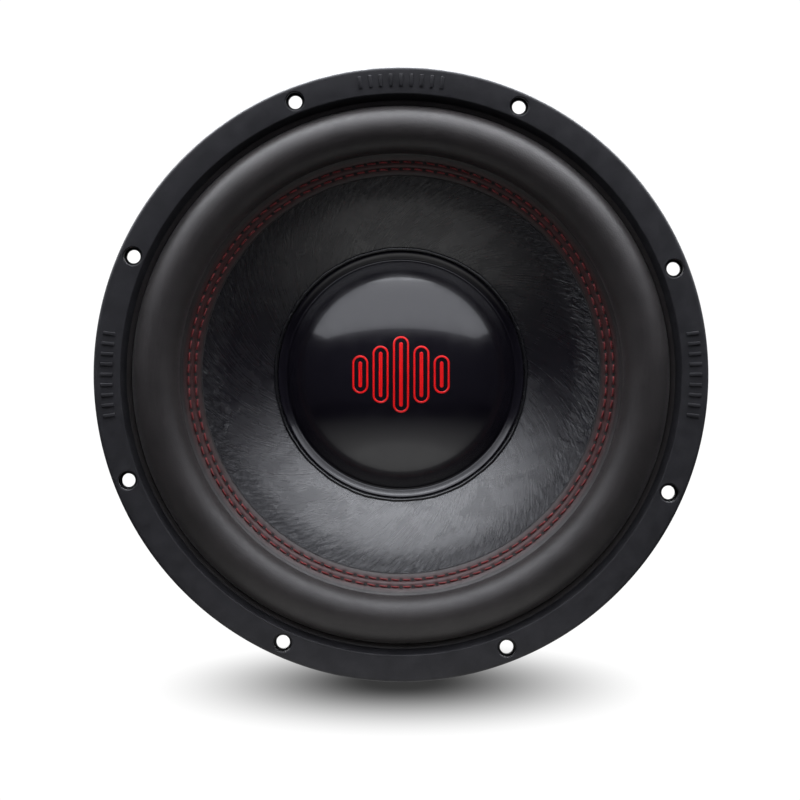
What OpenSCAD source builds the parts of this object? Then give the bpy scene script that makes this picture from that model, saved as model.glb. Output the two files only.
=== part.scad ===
// Car subwoofer driver, 12-inch class, with a long-throw motor and two voice coils.
// Every module is drawn about the Z axis with the front towards +Z, and upright() then
// turns the front to -Y. Z = 0 is the back face of the flange, which rests on a baffle.

/* [Rim] */
// Outer radius of the mounting gasket
gasket_r = 158; // [157:0.5:162]
// Height of the gasket above the flange
gasket_h = 7; // [6:0.5:9]
// Thickness of the basket's flange
flange_t = 4; // [3.5:0.25:5]
// Diameter of the circle that the mounting holes lie on
bolt_circle_d = 301; // [300:0.5:303]
// Number of mounting holes
bolt_count = 8; // [4:2:12]
// Radius of a mounting hole in the flange
bolt_hole_r = 3.5; // [3:0.1:3.8]
// Radius of the clearance hole in the gasket
gasket_hole_r = 4.7; // [4.2:0.1:4.9]
// Angle of the first mounting hole from the horizontal
first_hole_angle = 21.2; // [0:0.1:45]
// Radius of the part of the basket that drops into the baffle's cut-out
cutout_r = 139.5; // [139:0.1:140]

/* [Suspension] */
// Radius of the crest of the half roll
roll_mid_r = 126.2; // [126:0.1:126.6]
// Half the width of the roll
roll_half_w = 12.3; // [11.8:0.1:12.5]
// Thickness of the surround
surround_t = 1.4; // [1:0.1:1.8]
// Inner radius of the edge that is stitched to the cone
stitch_edge_r = 102.8; // [102:0.1:103.5]
// Number of stitches in each row
stitch_count = 112; // [60:1:120]
// Radius of the inner row of stitches
inner_row_r = 106.1; // [105:0.1:107]
// Radius of the outer row of stitches
outer_row_r = 109.6; // [109:0.1:111]
// Radius of the thread
thread_r = 0.5; // [0.3:0.05:0.7]

/* [Cone] */
// Outer radius of the cone
cone_edge_r = 113.6; // [113.2:0.1:113.8]
// Slope of the cone in degrees
cone_angle = 34; // [32:0.5:35]
// Thickness of the cone
cone_t = 1.2; // [0.8:0.1:1.6]
// Outer radius of the dust cap's lip
cap_lip_r = 64.5; // [60:0.5:66]
// Radius of the foot of the dome
dome_foot_r = 60; // [56:0.5:62]
// Height of the dome
dome_h = 19; // [14:1:24]

/* [Motor] */
// Inner radius of the voice coil former, a 3-inch coil
former_r = 38; // [38:0.1:38.2]
// Radius of the pole piece
pole_r = 37; // [36.5:0.1:37.2]
// Radius of the hole in the top plate
gap_r = 40.6; // [40.5:0.1:41]
// Radius of the steel plates
plate_r = 88; // [87:0.5:90]
// Radius of the magnets
magnet_r = 95; // [93:0.5:98]
// Thickness of each magnet
magnet_t = 20; // [20:0.5:22]
// Thickness of the top plate
top_plate_t = 12; // [11:0.5:12]
// Thickness of the back plate
back_plate_t = 12; // [10:0.5:14]
// Radius of the cooling vent through the pole
vent_r = 15; // [13:0.5:16]

/* [Basket] */
// Number of spokes
spoke_count = 6; // [6:2:6]
// Width of a spoke
spoke_w = 16; // [14:0.5:16]
// Depth of the ledge that the spider is glued to, behind the flange
landing_z = -62; // [-63:0.5:-61]
// Depth of the face that is bolted to the top plate
motor_z = -86; // [-87:0.5:-86]

/* [Terminals] */
// Distance of each terminal from the spoke's middle
terminal_y = 12; // [12:0.5:12.5]
// Travel of a push button
button_travel = 3; // [2:0.5:3]

/* [Hidden] */
$fn = 128;

gasket_front_z = flange_t + gasket_h;
bolt_r = bolt_circle_d / 2;

// Rim wall and spokes
wall_t = 3;
wall_z = -16;
landing_inner_r = 82;
landing_outer_r = 97;
landing_t = 4;
foot_ring_t = 4;
foot_ring_r = 58;

// The surround's edges
surround_edge_r = 144.8;
rebate_r = 145.2;
cone_edge_z = 3;
cone_rise = cone_t / cos(cone_angle);
stitch_rise = 1.2 / cos(cone_angle);
crease_r = roll_mid_r - roll_half_w + 0.3;
stitch_step = 360 / stitch_count;
stitch_sweep = 0.65 * stitch_step;

// The dust cap
cap_t = 1;
cap_rise = cap_t / cos(cone_angle);
dome_r = (dome_foot_r * dome_foot_r + dome_h * dome_h) / (2 * dome_h);
dome_foot_z = cone_z(dome_foot_r + 0.6) + cap_rise + 0.5;
dome_centre_z = dome_foot_z + dome_h - dome_r;
emblem_t = 0.45;

// Voice coil
former_t = 0.5;
former_outer_r = former_r + former_t;
collar_t = 0.5;
collar_r = former_outer_r + collar_t;
coil_length = 40;
winding_t = 0.6;

// Motor, from the front to the back
top_plate_z = motor_z - top_plate_t;
magnet_mid_z = top_plate_z - magnet_t;
back_plate_z = magnet_mid_z - magnet_t;
motor_back_z = back_plate_z - back_plate_t;
gap_mid_z = motor_z - top_plate_t / 2;
magnet_hole_r = 50;
coil_z = gap_mid_z - coil_length / 2;
former_back_z = coil_z - 2;
former_front_z = cone_z(former_outer_r) + 3;
screen_t = 1.5;
screen_r = vent_r + 2.5;
screen_pitch = 4;
screen_hole_r = 1.5;
boot_t = 3;
motor_bolt_r = 2.9;
motor_bolt_circle_r = 72;

// Spider
spider_t = 0.8;
spider_wave = 2.6;
spider_waves = 6;
spider_steps = 48;
spider_neck_r = former_outer_r + spider_t;
spider_mid_z = landing_z + spider_t / 2;
spider_neck_z = landing_z + 4;

// Terminals, in a block on the outer face of a spoke
pad_x = 120.5;
pad_t = 3;
pad_w = 44;
block_x = 13;
block_w = 44;
block_z = -64;
block_h = 24;
button_z = -46;
button_w = 9;
button_h = 7;
button_l = 11;
well_gap = 0.3;
well_floor_x = pad_x + 2.5;
port_z = -58;
port_r = 1.8;
strip_x = pad_x + 0.5;
strip_t = 0.8;
strip_w = 5;
lug_z = -35;
rivet_y = 19;
rivet_z = -52;
rivet_r = 1.5;
spring_r = 1.9;
spring_wire_r = 0.4;
spring_turns = 6;
spring_back_x = pad_x + 3;
spring_front_x = pad_x + 11.5;

// Where each lead meets the former, and its route outwards to the lug
tab_r = collar_r + 1;
tab_z = -55;
tab_h = 5;
tab_angle = asin(terminal_y / tab_r);
lead_r = 0.9;
lead_sides = 8;
lead_rings = 26;
lead_route = [
    [38.9, -52], [44, -52], [55, -54.5], [70, -54],
    [85, -46], [100, -37], [113, -35], [120.7, -36.6]
];

// Height of the cone's front face at a radius
function cone_z(r) = cone_edge_z + (r - cone_edge_r) * tan(cone_angle);

// A smooth curve through the points of a route, at t from 0 to the number of spans
function clamp_i(i, n) = max(0, min(n, i));
function spline(p, t) =
    let (n = len(p) - 1, i = clamp_i(floor(t), n - 1), f = t - i)
    let (a = p[clamp_i(i - 1, n)], b = p[i], c = p[i + 1], d = p[clamp_i(i + 2, n)])
    0.5 * ((2 * b) + (c - a) * f + (2 * a - 5 * b + 4 * c - d) * f * f
        + (3 * b - a - 3 * c + d) * f * f * f);

module upright() {
    rotate([90, 0, 0]) children();
}

module revolve() {
    upright() rotate_extrude() children();
}

// A flat ring between two heights
module ring_profile(inner, outer, low, high) {
    translate([inner, low]) square([outer - inner, high - low]);
}

module bolt_ring(count, radius, first = 0) {
    for (i = [0 : count - 1])
        rotate([0, 0, first + i * 360 / count]) translate([radius, 0, 0]) children();
}

// ---- Rim and basket ----

module spoke_profile() {
    back_z = landing_z - landing_t;
    polygon([
        [cutout_r + 2, -5], [cutout_r + 2, wall_z + 2.4], [landing_outer_r + 1.5, back_z],
        [plate_r + 2, motor_z + foot_ring_t], [plate_r - 2, motor_z], [78, motor_z],
        [79, motor_z + 6], [landing_inner_r + 2, back_z], [landing_inner_r + 2, landing_z],
        [landing_outer_r - 3, landing_z], [127, wall_z], [cutout_r - wall_t + 1, -5]
    ]);
}

module spokes() {
    intersection() {
        for (i = [0 : spoke_count - 1])
            rotate([0, 0, i * 360 / spoke_count]) rotate([90, 0, 0])
                linear_extrude(spoke_w, center = true) spoke_profile();
        translate([0, 0, motor_z]) cylinder(r = cutout_r, h = -motor_z);
    }
}

module basket() {
    color("#1b1b1c") upright() difference() {
        union() {
            rotate_extrude() {
                ring_profile(cutout_r - wall_t, gasket_r - 1, 0, flange_t);
                ring_profile(cutout_r - wall_t, cutout_r, wall_z, 1);
                ring_profile(landing_inner_r, landing_outer_r, landing_z - landing_t, landing_z);
                ring_profile(foot_ring_r, plate_r, motor_z, motor_z + foot_ring_t);
            }
            spokes();
            for (side = [0, 180])
                rotate([0, 0, side]) translate([pad_x - pad_t, -pad_w / 2, block_z])
                    cube([pad_t, pad_w, block_h]);
        }
        bolt_ring(bolt_count, bolt_r, first_hole_angle)
            translate([0, 0, -1]) cylinder(r = bolt_hole_r, h = flange_t + 2);
        bolt_ring(6, motor_bolt_circle_r, 30)
            translate([0, 0, motor_z - 1]) cylinder(r = motor_bolt_r + 0.2, h = foot_ring_t + 2);
        rivet_places() translate([pad_x - pad_t - 1, 0, 0])
            rotate([0, 90, 0]) cylinder(r = rivet_r + 0.05, h = pad_t + 2);
    }
}

// Short raised ribs on the gasket's face, in three groups
module gasket_ribs(middle, spread, count) {
    for (i = [0 : count - 1])
        rotate([0, 0, middle - spread + 2 * spread * i / (count - 1)])
            translate([148, -0.9, gasket_front_z - 0.5]) cube([6.4, 1.8, 1.1]);
}

module mounting_gasket() {
    color("#232325") upright() difference() {
        union() {
            rotate_extrude() polygon([
                [rebate_r, flange_t], [gasket_r, flange_t], [gasket_r, gasket_front_z - 1.2],
                [gasket_r - 1.2, gasket_front_z], [144, gasket_front_z],
                [141, flange_t + surround_t], [rebate_r, flange_t + surround_t]
            ]);
            gasket_ribs(90, 8, 9);
            gasket_ribs(0, 8, 9);
            gasket_ribs(180, 8, 9);
        }
        bolt_ring(bolt_count, bolt_r, first_hole_angle)
            translate([0, 0, flange_t - 1]) cylinder(r = gasket_hole_r, h = gasket_h + 3);
    }
}

// ---- Moving parts seen from the front ----

module surround() {
    color("#2e2c2a") revolve() {
        intersection() {
            translate([roll_mid_r, flange_t]) difference() {
                circle(roll_half_w);
                circle(roll_half_w - surround_t);
            }
            translate([roll_mid_r - roll_half_w, flange_t])
                square([2 * roll_half_w, roll_half_w]);
        }
        ring_profile(roll_mid_r + roll_half_w - surround_t, surround_edge_r,
            flange_t, flange_t + surround_t);
        polygon([
            [stitch_edge_r, cone_z(stitch_edge_r)], [cone_edge_r, cone_edge_z],
            [crease_r + 1.05, cone_edge_z], [crease_r + 1.05, flange_t + 0.3],
            [crease_r, cone_z(crease_r) + stitch_rise],
            [stitch_edge_r, cone_z(stitch_edge_r) + stitch_rise]
        ]);
    }
}

// One row of stitches lying on the surround's inner edge
module stitch_row(row_r) {
    lift = thread_r + 0.02;
    thread_place = [
        row_r - lift * sin(cone_angle),
        cone_z(row_r) + stitch_rise + lift * cos(cone_angle)
    ];
    upright() for (i = [0 : stitch_count - 1])
        rotate([0, 0, i * stitch_step]) rotate_extrude(angle = stitch_sweep)
            translate(thread_place) circle(thread_r, $fn = 24);
}

module stitching_outer() {
    color("#7a1c1c") stitch_row(outer_row_r);
}

module stitching_inner() {
    color("#7a1c1c") stitch_row(inner_row_r);
}

module cone() {
    color("#34322f") revolve() polygon([
        [former_outer_r, cone_z(former_outer_r)], [cone_edge_r, cone_edge_z],
        [cone_edge_r, cone_edge_z - cone_rise],
        [former_outer_r, cone_z(former_outer_r) - cone_rise]
    ]);
}

module dust_cap() {
    color("#0c0c0e") revolve() {
        intersection() {
            translate([0, dome_centre_z]) difference() {
                circle(dome_r);
                circle(dome_r - cap_t);
            }
            translate([0, dome_foot_z]) square([dome_r, dome_h + 1]);
        }
        polygon([
            [dome_foot_r - 1.2, cone_z(dome_foot_r - 1.2)], [cap_lip_r, cone_z(cap_lip_r)],
            [cap_lip_r, cone_z(cap_lip_r) + cap_rise],
            [dome_foot_r + 0.6, cone_z(dome_foot_r + 0.6) + cap_rise],
            [dome_foot_r - 0.1, dome_foot_z + 0.05], [dome_foot_r - 1.2, dome_foot_z + 0.05]
        ]);
    }
}

module dust_cap_bead() {
    color("#101010") revolve() polygon([
        [cap_lip_r, cone_z(cap_lip_r)], [cap_lip_r + 2, cone_z(cap_lip_r + 2)],
        [cap_lip_r + 1.4, cone_z(cap_lip_r + 1.4) + 1.1],
        [cap_lip_r, cone_z(cap_lip_r) + cap_rise]
    ]);
}

// An upright bar with round ends, centred on the origin
module round_bar(width, height) {
    square([width, height - width], center = true);
    for (end = [-1, 1])
        translate([0, end * (height - width) / 2]) circle(width / 2, $fn = 48);
}

module equaliser_outlines() {
    for (i = [-2 : 2])
        translate([i * 10.6, 0]) {
            height = 40 - 10 * abs(i);
            difference() {
                round_bar(8.4, height);
                round_bar(6.2, height - 2.2);
            }
            round_bar(2, height - 6.4);
        }
}

module emblem() {
    color("#8c2323") upright() intersection() {
        translate([0, 0, dome_centre_z]) difference() {
            sphere(dome_r + emblem_t);
            sphere(dome_r);
        }
        translate([0, 0, dome_foot_z]) linear_extrude(dome_h + 5) equaliser_outlines();
    }
}

// ---- Voice coil and spider ----

module neck_glue() {
    color("#15151a") revolve() polygon([
        [former_outer_r, cone_z(former_outer_r)],
        [former_outer_r + 4, cone_z(former_outer_r + 4)],
        [former_outer_r, cone_z(former_outer_r) + 2.6]
    ]);
}

module voice_coil_former() {
    color("#b9bbbd") revolve()
        ring_profile(former_r, former_outer_r, former_back_z, former_front_z);
}

module former_collar() {
    color("#9a7748") revolve()
        ring_profile(former_outer_r, collar_r, spider_neck_z, tab_z + tab_h);
}

module inner_winding() {
    color("#b4652f") revolve()
        ring_profile(former_outer_r, former_outer_r + winding_t, coil_z, coil_z + coil_length);
}

module outer_winding() {
    color("#a2551f") revolve()
        ring_profile(former_outer_r + winding_t, former_outer_r + 2 * winding_t,
            coil_z, coil_z + coil_length);
}

module lead_tabs() {
    color("#b9b4a8") upright() for (side = [0, 180])
        for (angle = [tab_angle, -tab_angle])
            rotate([0, 0, side + angle - 3]) rotate_extrude(angle = 6)
                ring_profile(collar_r, tab_r, tab_z, tab_z + tab_h);
}

// Middle line of the spider's corrugations
function spider_line(i) =
    let (share = i / spider_steps)
    [
        spider_neck_r + share * (landing_inner_r - spider_neck_r),
        spider_mid_z + spider_wave * sin(360 * spider_waves * share)
    ];

module spider() {
    half = spider_t / 2;
    rim_r = landing_outer_r - 4;
    front = [for (i = [0 : spider_steps]) spider_line(i) + [0, half]];
    back = [for (i = [spider_steps : -1 : 0]) spider_line(i) - [0, half]];
    color("#c9a227") revolve() polygon(concat(
        [[former_outer_r, spider_neck_z], [spider_neck_r, spider_neck_z]], front,
        [[rim_r, spider_mid_z + half], [rim_r, spider_mid_z - half]], back,
        [[spider_neck_r, landing_z - 4], [former_outer_r, landing_z - 4]]
    ));
}

// ---- Motor ----

module top_plate() {
    color("#3a3b3e") upright() difference() {
        rotate_extrude() polygon([
            [gap_r, top_plate_z], [plate_r, top_plate_z], [plate_r, motor_z - 1],
            [plate_r - 1, motor_z], [gap_r, motor_z]
        ]);
        bolt_ring(6, motor_bolt_circle_r, 30)
            translate([0, 0, motor_z - 9]) cylinder(r = motor_bolt_r + 0.05, h = 10);
    }
}

module motor_bolts() {
    color("#5d5f63") upright() bolt_ring(6, motor_bolt_circle_r, 30) {
        translate([0, 0, motor_z - 8.5]) cylinder(r = motor_bolt_r, h = 12.6);
        translate([0, 0, motor_z + foot_ring_t]) cylinder(r = 5, h = 4, $fn = 6);
    }
}

module magnet_ring(back_z) {
    color("#2d2d30") revolve() polygon([
        [magnet_hole_r, back_z], [magnet_r - 1, back_z], [magnet_r, back_z + 1],
        [magnet_r, back_z + magnet_t - 1], [magnet_r - 1, back_z + magnet_t],
        [magnet_hole_r, back_z + magnet_t]
    ]);
}

module magnet_front() {
    magnet_ring(magnet_mid_z);
}

module magnet_rear() {
    magnet_ring(back_plate_z);
}

module yoke() {
    color("#3a3b3e") revolve() polygon([
        [screen_r, motor_back_z], [plate_r - 1.5, motor_back_z],
        [plate_r, motor_back_z + 1.5], [plate_r, back_plate_z],
        [pole_r, back_plate_z], [pole_r, motor_z + 1], [pole_r - 1, motor_z + 2],
        [vent_r + 5, motor_z + 2], [vent_r, motor_z - 8], [vent_r, motor_back_z + screen_t],
        [screen_r, motor_back_z + screen_t]
    ]);
}

module shorting_ring() {
    color("#b5b8bb") revolve() ring_profile(42.6, magnet_hole_r - 0.4, back_plate_z, back_plate_z + 12);
}

module vent_screen() {
    rows = floor((vent_r - screen_hole_r) / (screen_pitch * sin(60)));
    color("#6b6d70") upright() translate([0, 0, motor_back_z]) difference() {
        cylinder(r = screen_r, h = screen_t);
        for (row = [-rows : rows])
            for (col = [-4 : 4]) {
                x = screen_pitch * (col + (row % 2 == 0 ? 0 : 0.5));
                y = screen_pitch * sin(60) * row;
                if (norm([x, y]) < vent_r - screen_hole_r)
                    translate([x, y, -1]) cylinder(r = screen_hole_r, h = screen_t + 2, $fn = 24);
            }
    }
}

module magnet_boot() {
    outer = magnet_r + boot_t;
    color("#1f1f20") revolve() polygon([
        [plate_r, motor_back_z], [outer - 1.5, motor_back_z], [outer, motor_back_z + 1.5],
        [outer, top_plate_z - 2], [outer - 1, top_plate_z - 0.5], [magnet_r, top_plate_z - 0.5],
        [magnet_r, back_plate_z], [plate_r, back_plate_z]
    ]);
}

// ---- Terminals ----
// side 0 is on the right and side 180 on the left. y is along the block, upwards on the
// right and downwards on the left, so end() gives the sign of an upper or lower part.

module on_side(side) {
    upright() rotate([0, 0, side]) children();
}

module rivet_places() {
    for (side = [0, 180])
        for (end = [-1, 1])
            rotate([0, 0, side]) translate([0, end * rivet_y, rivet_z]) children();
}

module strip(y) {
    translate([strip_x, y - strip_w / 2, port_z - 3]) cube([strip_t, strip_w, lug_z - port_z + 3]);
}

module terminal_housing(side) {
    color("#19191b") on_side(side) difference() {
        translate([pad_x, -block_w / 2, block_z]) cube([block_x, block_w, block_h]);
        for (y = [-terminal_y, terminal_y]) {
            translate([well_floor_x, y - button_w / 2 - well_gap,
                button_z - button_h / 2 - well_gap])
                cube([block_x, button_w + 2 * well_gap, button_h + 2 * well_gap]);
            translate([strip_x + strip_t, y, port_z])
                rotate([0, 90, 0]) cylinder(r = port_r, h = block_x);
            translate([strip_x, y - strip_w / 2, port_z - 3])
                cube([strip_t, strip_w, block_h]);
        }
        for (end = [-1, 1])
            translate([pad_x - 1, end * rivet_y, rivet_z])
                rotate([0, 90, 0]) cylinder(r = rivet_r + 0.05, h = block_x + 2);
    }
}

module terminal_housing_right() {
    terminal_housing(0);
}

module terminal_housing_left() {
    terminal_housing(180);
}

module terminal_rivets() {
    color("#a8aaad") upright() rivet_places() rotate([0, 90, 0]) {
        translate([0, 0, pad_x - pad_t]) cylinder(r = rivet_r, h = pad_t + block_x);
        translate([0, 0, pad_x + block_x]) cylinder(r = 2.2, h = 1);
        translate([0, 0, pad_x - pad_t - 1]) cylinder(r = 2.4, h = 1);
    }
}

// A push button, hollow behind so that its spring sits inside it
module push_button(side, y, tint) {
    color(tint) on_side(side) difference() {
        translate([well_floor_x + button_travel + 0.5, y - button_w / 2, button_z - button_h / 2])
            cube([button_l, button_w, button_h]);
        translate([pad_x + 5, y, button_z]) rotate([0, 90, 0]) cylinder(r = 2.7, h = 7);
    }
}

module push_button_right_upper() {
    push_button(0, terminal_y, "#a01818");
}

module push_button_right_lower() {
    push_button(0, -terminal_y, "#202022");
}

module push_button_left_upper() {
    push_button(180, -terminal_y, "#a01818");
}

module push_button_left_lower() {
    push_button(180, terminal_y, "#202022");
}

// A tube swept along points, with a flat ring at each one
module swept_tube(points, radius, sides) {
    last = len(points) - 1;
    corners = [
        for (i = [0 : last])
            let (ahead = points[min(last, i + 1)] - points[max(0, i - 1)])
            let (along = ahead / norm(ahead))
            let (guide = abs(along[1]) < 0.9 ? [0, 1, 0] : [0, 0, 1])
            let (u = cross(guide, along) / norm(cross(guide, along)), v = cross(along, u))
            for (k = [0 : sides - 1])
                points[i] + radius * (cos(360 * k / sides) * u + sin(360 * k / sides) * v)
    ];
    walls = [
        for (i = [0 : last - 1])
            for (k = [0 : sides - 1])
                [
                    i * sides + k, i * sides + (k + 1) % sides,
                    (i + 1) * sides + (k + 1) % sides, (i + 1) * sides + k
                ]
    ];
    first_end = [for (k = [sides - 1 : -1 : 0]) k];
    last_end = [for (k = [0 : sides - 1]) last * sides + k];
    polyhedron(corners, concat([first_end, last_end], walls));
}

module button_spring(side, y) {
    steps = spring_turns * 12;
    coil = [
        for (i = [0 : steps])
            [
                spring_back_x + (spring_front_x - spring_back_x) * i / steps,
                spring_r * cos(30 * i), spring_r * sin(30 * i)
            ]
    ];
    color("#c4c6c8") on_side(side) translate([0, y, button_z])
        swept_tube(coil, spring_wire_r, 8);
}

module button_spring_right_upper() {
    button_spring(0, terminal_y);
}

module button_spring_right_lower() {
    button_spring(0, -terminal_y);
}

module button_spring_left_upper() {
    button_spring(180, -terminal_y);
}

module button_spring_left_lower() {
    button_spring(180, terminal_y);
}

module contact(side, y) {
    color("#c9a34a") on_side(side) difference() {
        strip(y);
        translate([strip_x - 1, y, lug_z - 1.8])
            rotate([0, 90, 0]) cylinder(r = 0.9, h = strip_t + 2);
    }
}

module contact_right_upper() {
    contact(0, terminal_y);
}

module contact_right_lower() {
    contact(0, -terminal_y);
}

module contact_left_upper() {
    contact(180, -terminal_y);
}

module contact_left_lower() {
    contact(180, terminal_y);
}

module tinsel_lead(side, y) {
    spans = len(lead_route) - 1;
    path = [
        for (i = [0 : lead_rings])
            let (p = spline(lead_route, spans * i / lead_rings))
            [p[0], y, p[1]]
    ];
    color("#b57f4e") on_side(side) swept_tube(path, lead_r, lead_sides);
}

module tinsel_lead_right_upper() {
    tinsel_lead(0, terminal_y);
}

module tinsel_lead_right_lower() {
    tinsel_lead(0, -terminal_y);
}

module tinsel_lead_left_upper() {
    tinsel_lead(180, -terminal_y);
}

module tinsel_lead_left_lower() {
    tinsel_lead(180, terminal_y);
}

basket();
mounting_gasket();
surround();
stitching_outer();
stitching_inner();
cone();
dust_cap();
dust_cap_bead();
emblem();
neck_glue();
voice_coil_former();
former_collar();
inner_winding();
outer_winding();
lead_tabs();
spider();
top_plate();
motor_bolts();
magnet_front();
magnet_rear();
yoke();
shorting_ring();
vent_screen();
magnet_boot();
terminal_housing_right();
terminal_housing_left();
terminal_rivets();
push_button_right_upper();
push_button_right_lower();
push_button_left_upper();
push_button_left_lower();
button_spring_right_upper();
button_spring_right_lower();
button_spring_left_upper();
button_spring_left_lower();
contact_right_upper();
contact_right_lower();
contact_left_upper();
contact_left_lower();
tinsel_lead_right_upper();
tinsel_lead_right_lower();
tinsel_lead_left_upper();
tinsel_lead_left_lower();
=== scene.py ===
# %% [markdown]
# # A car subwoofer driver, finished in Blender
# The real object is a 12-inch loudspeaker driver made to be looked at from the front:
# a rubber gasket, a foam half-roll surround, a stitched edge, a fibre cone and a glossy
# cap. Behind them stand a cast basket, a cloth spider and a heavy ring-magnet motor.
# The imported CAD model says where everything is, so it is opened first and never moved.

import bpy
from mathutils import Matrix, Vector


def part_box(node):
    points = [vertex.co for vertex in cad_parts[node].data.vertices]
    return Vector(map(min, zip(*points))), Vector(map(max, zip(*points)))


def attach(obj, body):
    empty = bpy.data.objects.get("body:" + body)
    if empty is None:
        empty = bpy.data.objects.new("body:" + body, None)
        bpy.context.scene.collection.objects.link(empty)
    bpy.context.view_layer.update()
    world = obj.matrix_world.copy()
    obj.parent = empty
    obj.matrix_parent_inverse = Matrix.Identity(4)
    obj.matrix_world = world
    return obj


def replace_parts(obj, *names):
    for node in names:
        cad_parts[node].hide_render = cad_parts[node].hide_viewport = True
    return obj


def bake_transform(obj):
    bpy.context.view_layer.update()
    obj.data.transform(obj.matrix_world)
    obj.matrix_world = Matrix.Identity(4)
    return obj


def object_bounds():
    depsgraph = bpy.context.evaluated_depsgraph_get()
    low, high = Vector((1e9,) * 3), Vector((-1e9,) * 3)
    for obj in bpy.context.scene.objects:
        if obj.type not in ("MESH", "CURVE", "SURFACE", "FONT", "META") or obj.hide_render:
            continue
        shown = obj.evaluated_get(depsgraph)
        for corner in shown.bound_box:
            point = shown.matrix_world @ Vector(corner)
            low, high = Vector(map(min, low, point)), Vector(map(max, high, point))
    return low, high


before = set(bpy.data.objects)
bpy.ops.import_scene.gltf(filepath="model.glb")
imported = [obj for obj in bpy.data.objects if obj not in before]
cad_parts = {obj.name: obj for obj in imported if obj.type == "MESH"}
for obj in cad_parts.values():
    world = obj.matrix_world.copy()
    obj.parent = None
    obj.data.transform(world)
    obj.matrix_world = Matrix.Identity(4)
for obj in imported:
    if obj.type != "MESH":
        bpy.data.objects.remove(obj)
cad_low, cad_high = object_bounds()
print("CAD box in metres:", [round(v, 4) for v in (*cad_low, *cad_high)])

# %% Tools from Blender and Python
import math
import random
from types import SimpleNamespace

import bmesh
import bpy
import numpy as np
from mathutils import Matrix, Vector

MM = 0.001
scene = bpy.context.scene
dice = random.Random(12)

# %% [markdown]
# ## Where things are
# The driver's axis lies along Y and its front faces -Y. Round parts are easier to think
# of as a radius, an angle and a height towards the front, all in millimetres, so one
# helper turns those three into a place in the scene.

# %% Places on a round object
def place(radius, angle, front):
    """Radius and height towards the front in mm, angle in radians from the right."""
    return Vector((radius * math.cos(angle), -front, radius * math.sin(angle))) * MM


def extent(node):
    """Outer radius, front and back of a round CAD node, in mm."""
    low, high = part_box(node)
    return SimpleNamespace(
        r=(high.z - low.z) / 2 / MM, front=-low.y / MM, back=-high.y / MM
    )


gasket = extent("mounting_gasket")
basket = extent("basket")
cone_part = extent("cone")
cap_part = extent("dust_cap")
former = extent("voice_coil_former")
print("gasket radius", round(gasket.r, 1), "front at", round(gasket.front, 1))

# %% Heights that the parts share
CONE_SLOPE = math.radians(34)
cone_edge_r = cone_part.r
CONE_EDGE_Z = 3.0
flange_front = gasket.back


def cone_z(radius):
    """Height of the cone's front face."""
    return CONE_EDGE_Z + (radius - cone_edge_r) * math.tan(CONE_SLOPE)


print("cone neck at", round(cone_z(former.r), 1), "mm")

# %% [markdown]
# ## Shaping helpers
# Nearly every part here is turned, moulded or pressed round an axis, so a profile swept
# round that axis is the natural way to make it. Real edges are never knife sharp, so the
# corners of each profile are rounded before the sweep. Bars, blocks and wires get their
# own helpers.

# %% Round the corners of a profile
def rounded(points, radius, steps=4):
    """The closed profile with each corner turned into a short arc.
    A point may carry its own radius as a third number."""
    out = []
    count = len(points)
    for i, corner in enumerate(points):
        here = Vector(corner[:2])
        before = Vector(points[i - 1][:2]) - here
        after = Vector(points[(i + 1) % count][:2]) - here
        wanted = corner[2] if len(corner) > 2 else radius
        half = before.angle(after, 0) / 2
        if wanted <= 0 or half < 0.02 or half > math.pi / 2 - 0.02:
            out.append(tuple(here))
            continue
        run = wanted / math.tan(half)
        limit = 0.45 * min(before.length, after.length)
        run = min(run, limit)
        start = here + before.normalized() * run
        end = here + after.normalized() * run
        for k in range(steps + 1):
            t = k / steps
            out.append(tuple((1 - t) ** 2 * start + 2 * t * (1 - t) * here + t * t * end))
    return out


# %% From points and faces to an object
def new_object(name, mesh, sharp=35):
    """Puts a mesh in the scene, smooth but for edges sharper than that many degrees."""
    obj = bpy.data.objects.new(name, mesh)
    scene.collection.objects.link(obj)
    mesh.shade_smooth()
    mesh.set_sharp_from_angle(angle=math.radians(sharp))
    return obj


def finished(name, work, sharp=35):
    """Ends a bmesh job: turns the faces outwards and makes the object."""
    bmesh.ops.recalc_face_normals(work, faces=work.faces)
    mesh = bpy.data.meshes.new(name)
    work.to_mesh(mesh)
    work.free()
    return new_object(name, mesh, sharp)


def plain_mesh(name, points, faces):
    mesh = bpy.data.meshes.new(name)
    mesh.from_pydata(points, [], faces)
    return mesh


def solid(name, points, faces, sharp=35, merge=False):
    """An object with its faces turned outwards. merge joins points in one place."""
    work = bmesh.new()
    work.from_mesh(plain_mesh(name, points, faces))
    if merge:
        bmesh.ops.remove_doubles(work, verts=work.verts, dist=1e-7)
    return finished(name, work, sharp)


def closed_strip(rows, ring, spans, wrap=True):
    """Faces between neighbouring rows of ring points, with spans faces in each row."""
    return [(a + i, a + (i + 1) % ring, b + (i + 1) % ring, b + i)
            for k in range(rows if wrap else rows - 1)
            for a, b in ((k * ring, (k + 1) % rows * ring),)
            for i in range(spans)]


# %% Sweep a profile round the axis
def revolve(name, profile, steps=256, closed=True, sharp=35):
    """A solid of revolution. closed joins the profile's last point to its first."""
    ring = len(profile)
    angles = [2 * math.pi * k / steps for k in range(steps)]
    points = [place(r, a, z) for a in angles for r, z in profile]
    faces = closed_strip(steps, ring, ring if closed else ring - 1)
    return solid(name, points, faces, sharp, merge=not closed)


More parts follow.
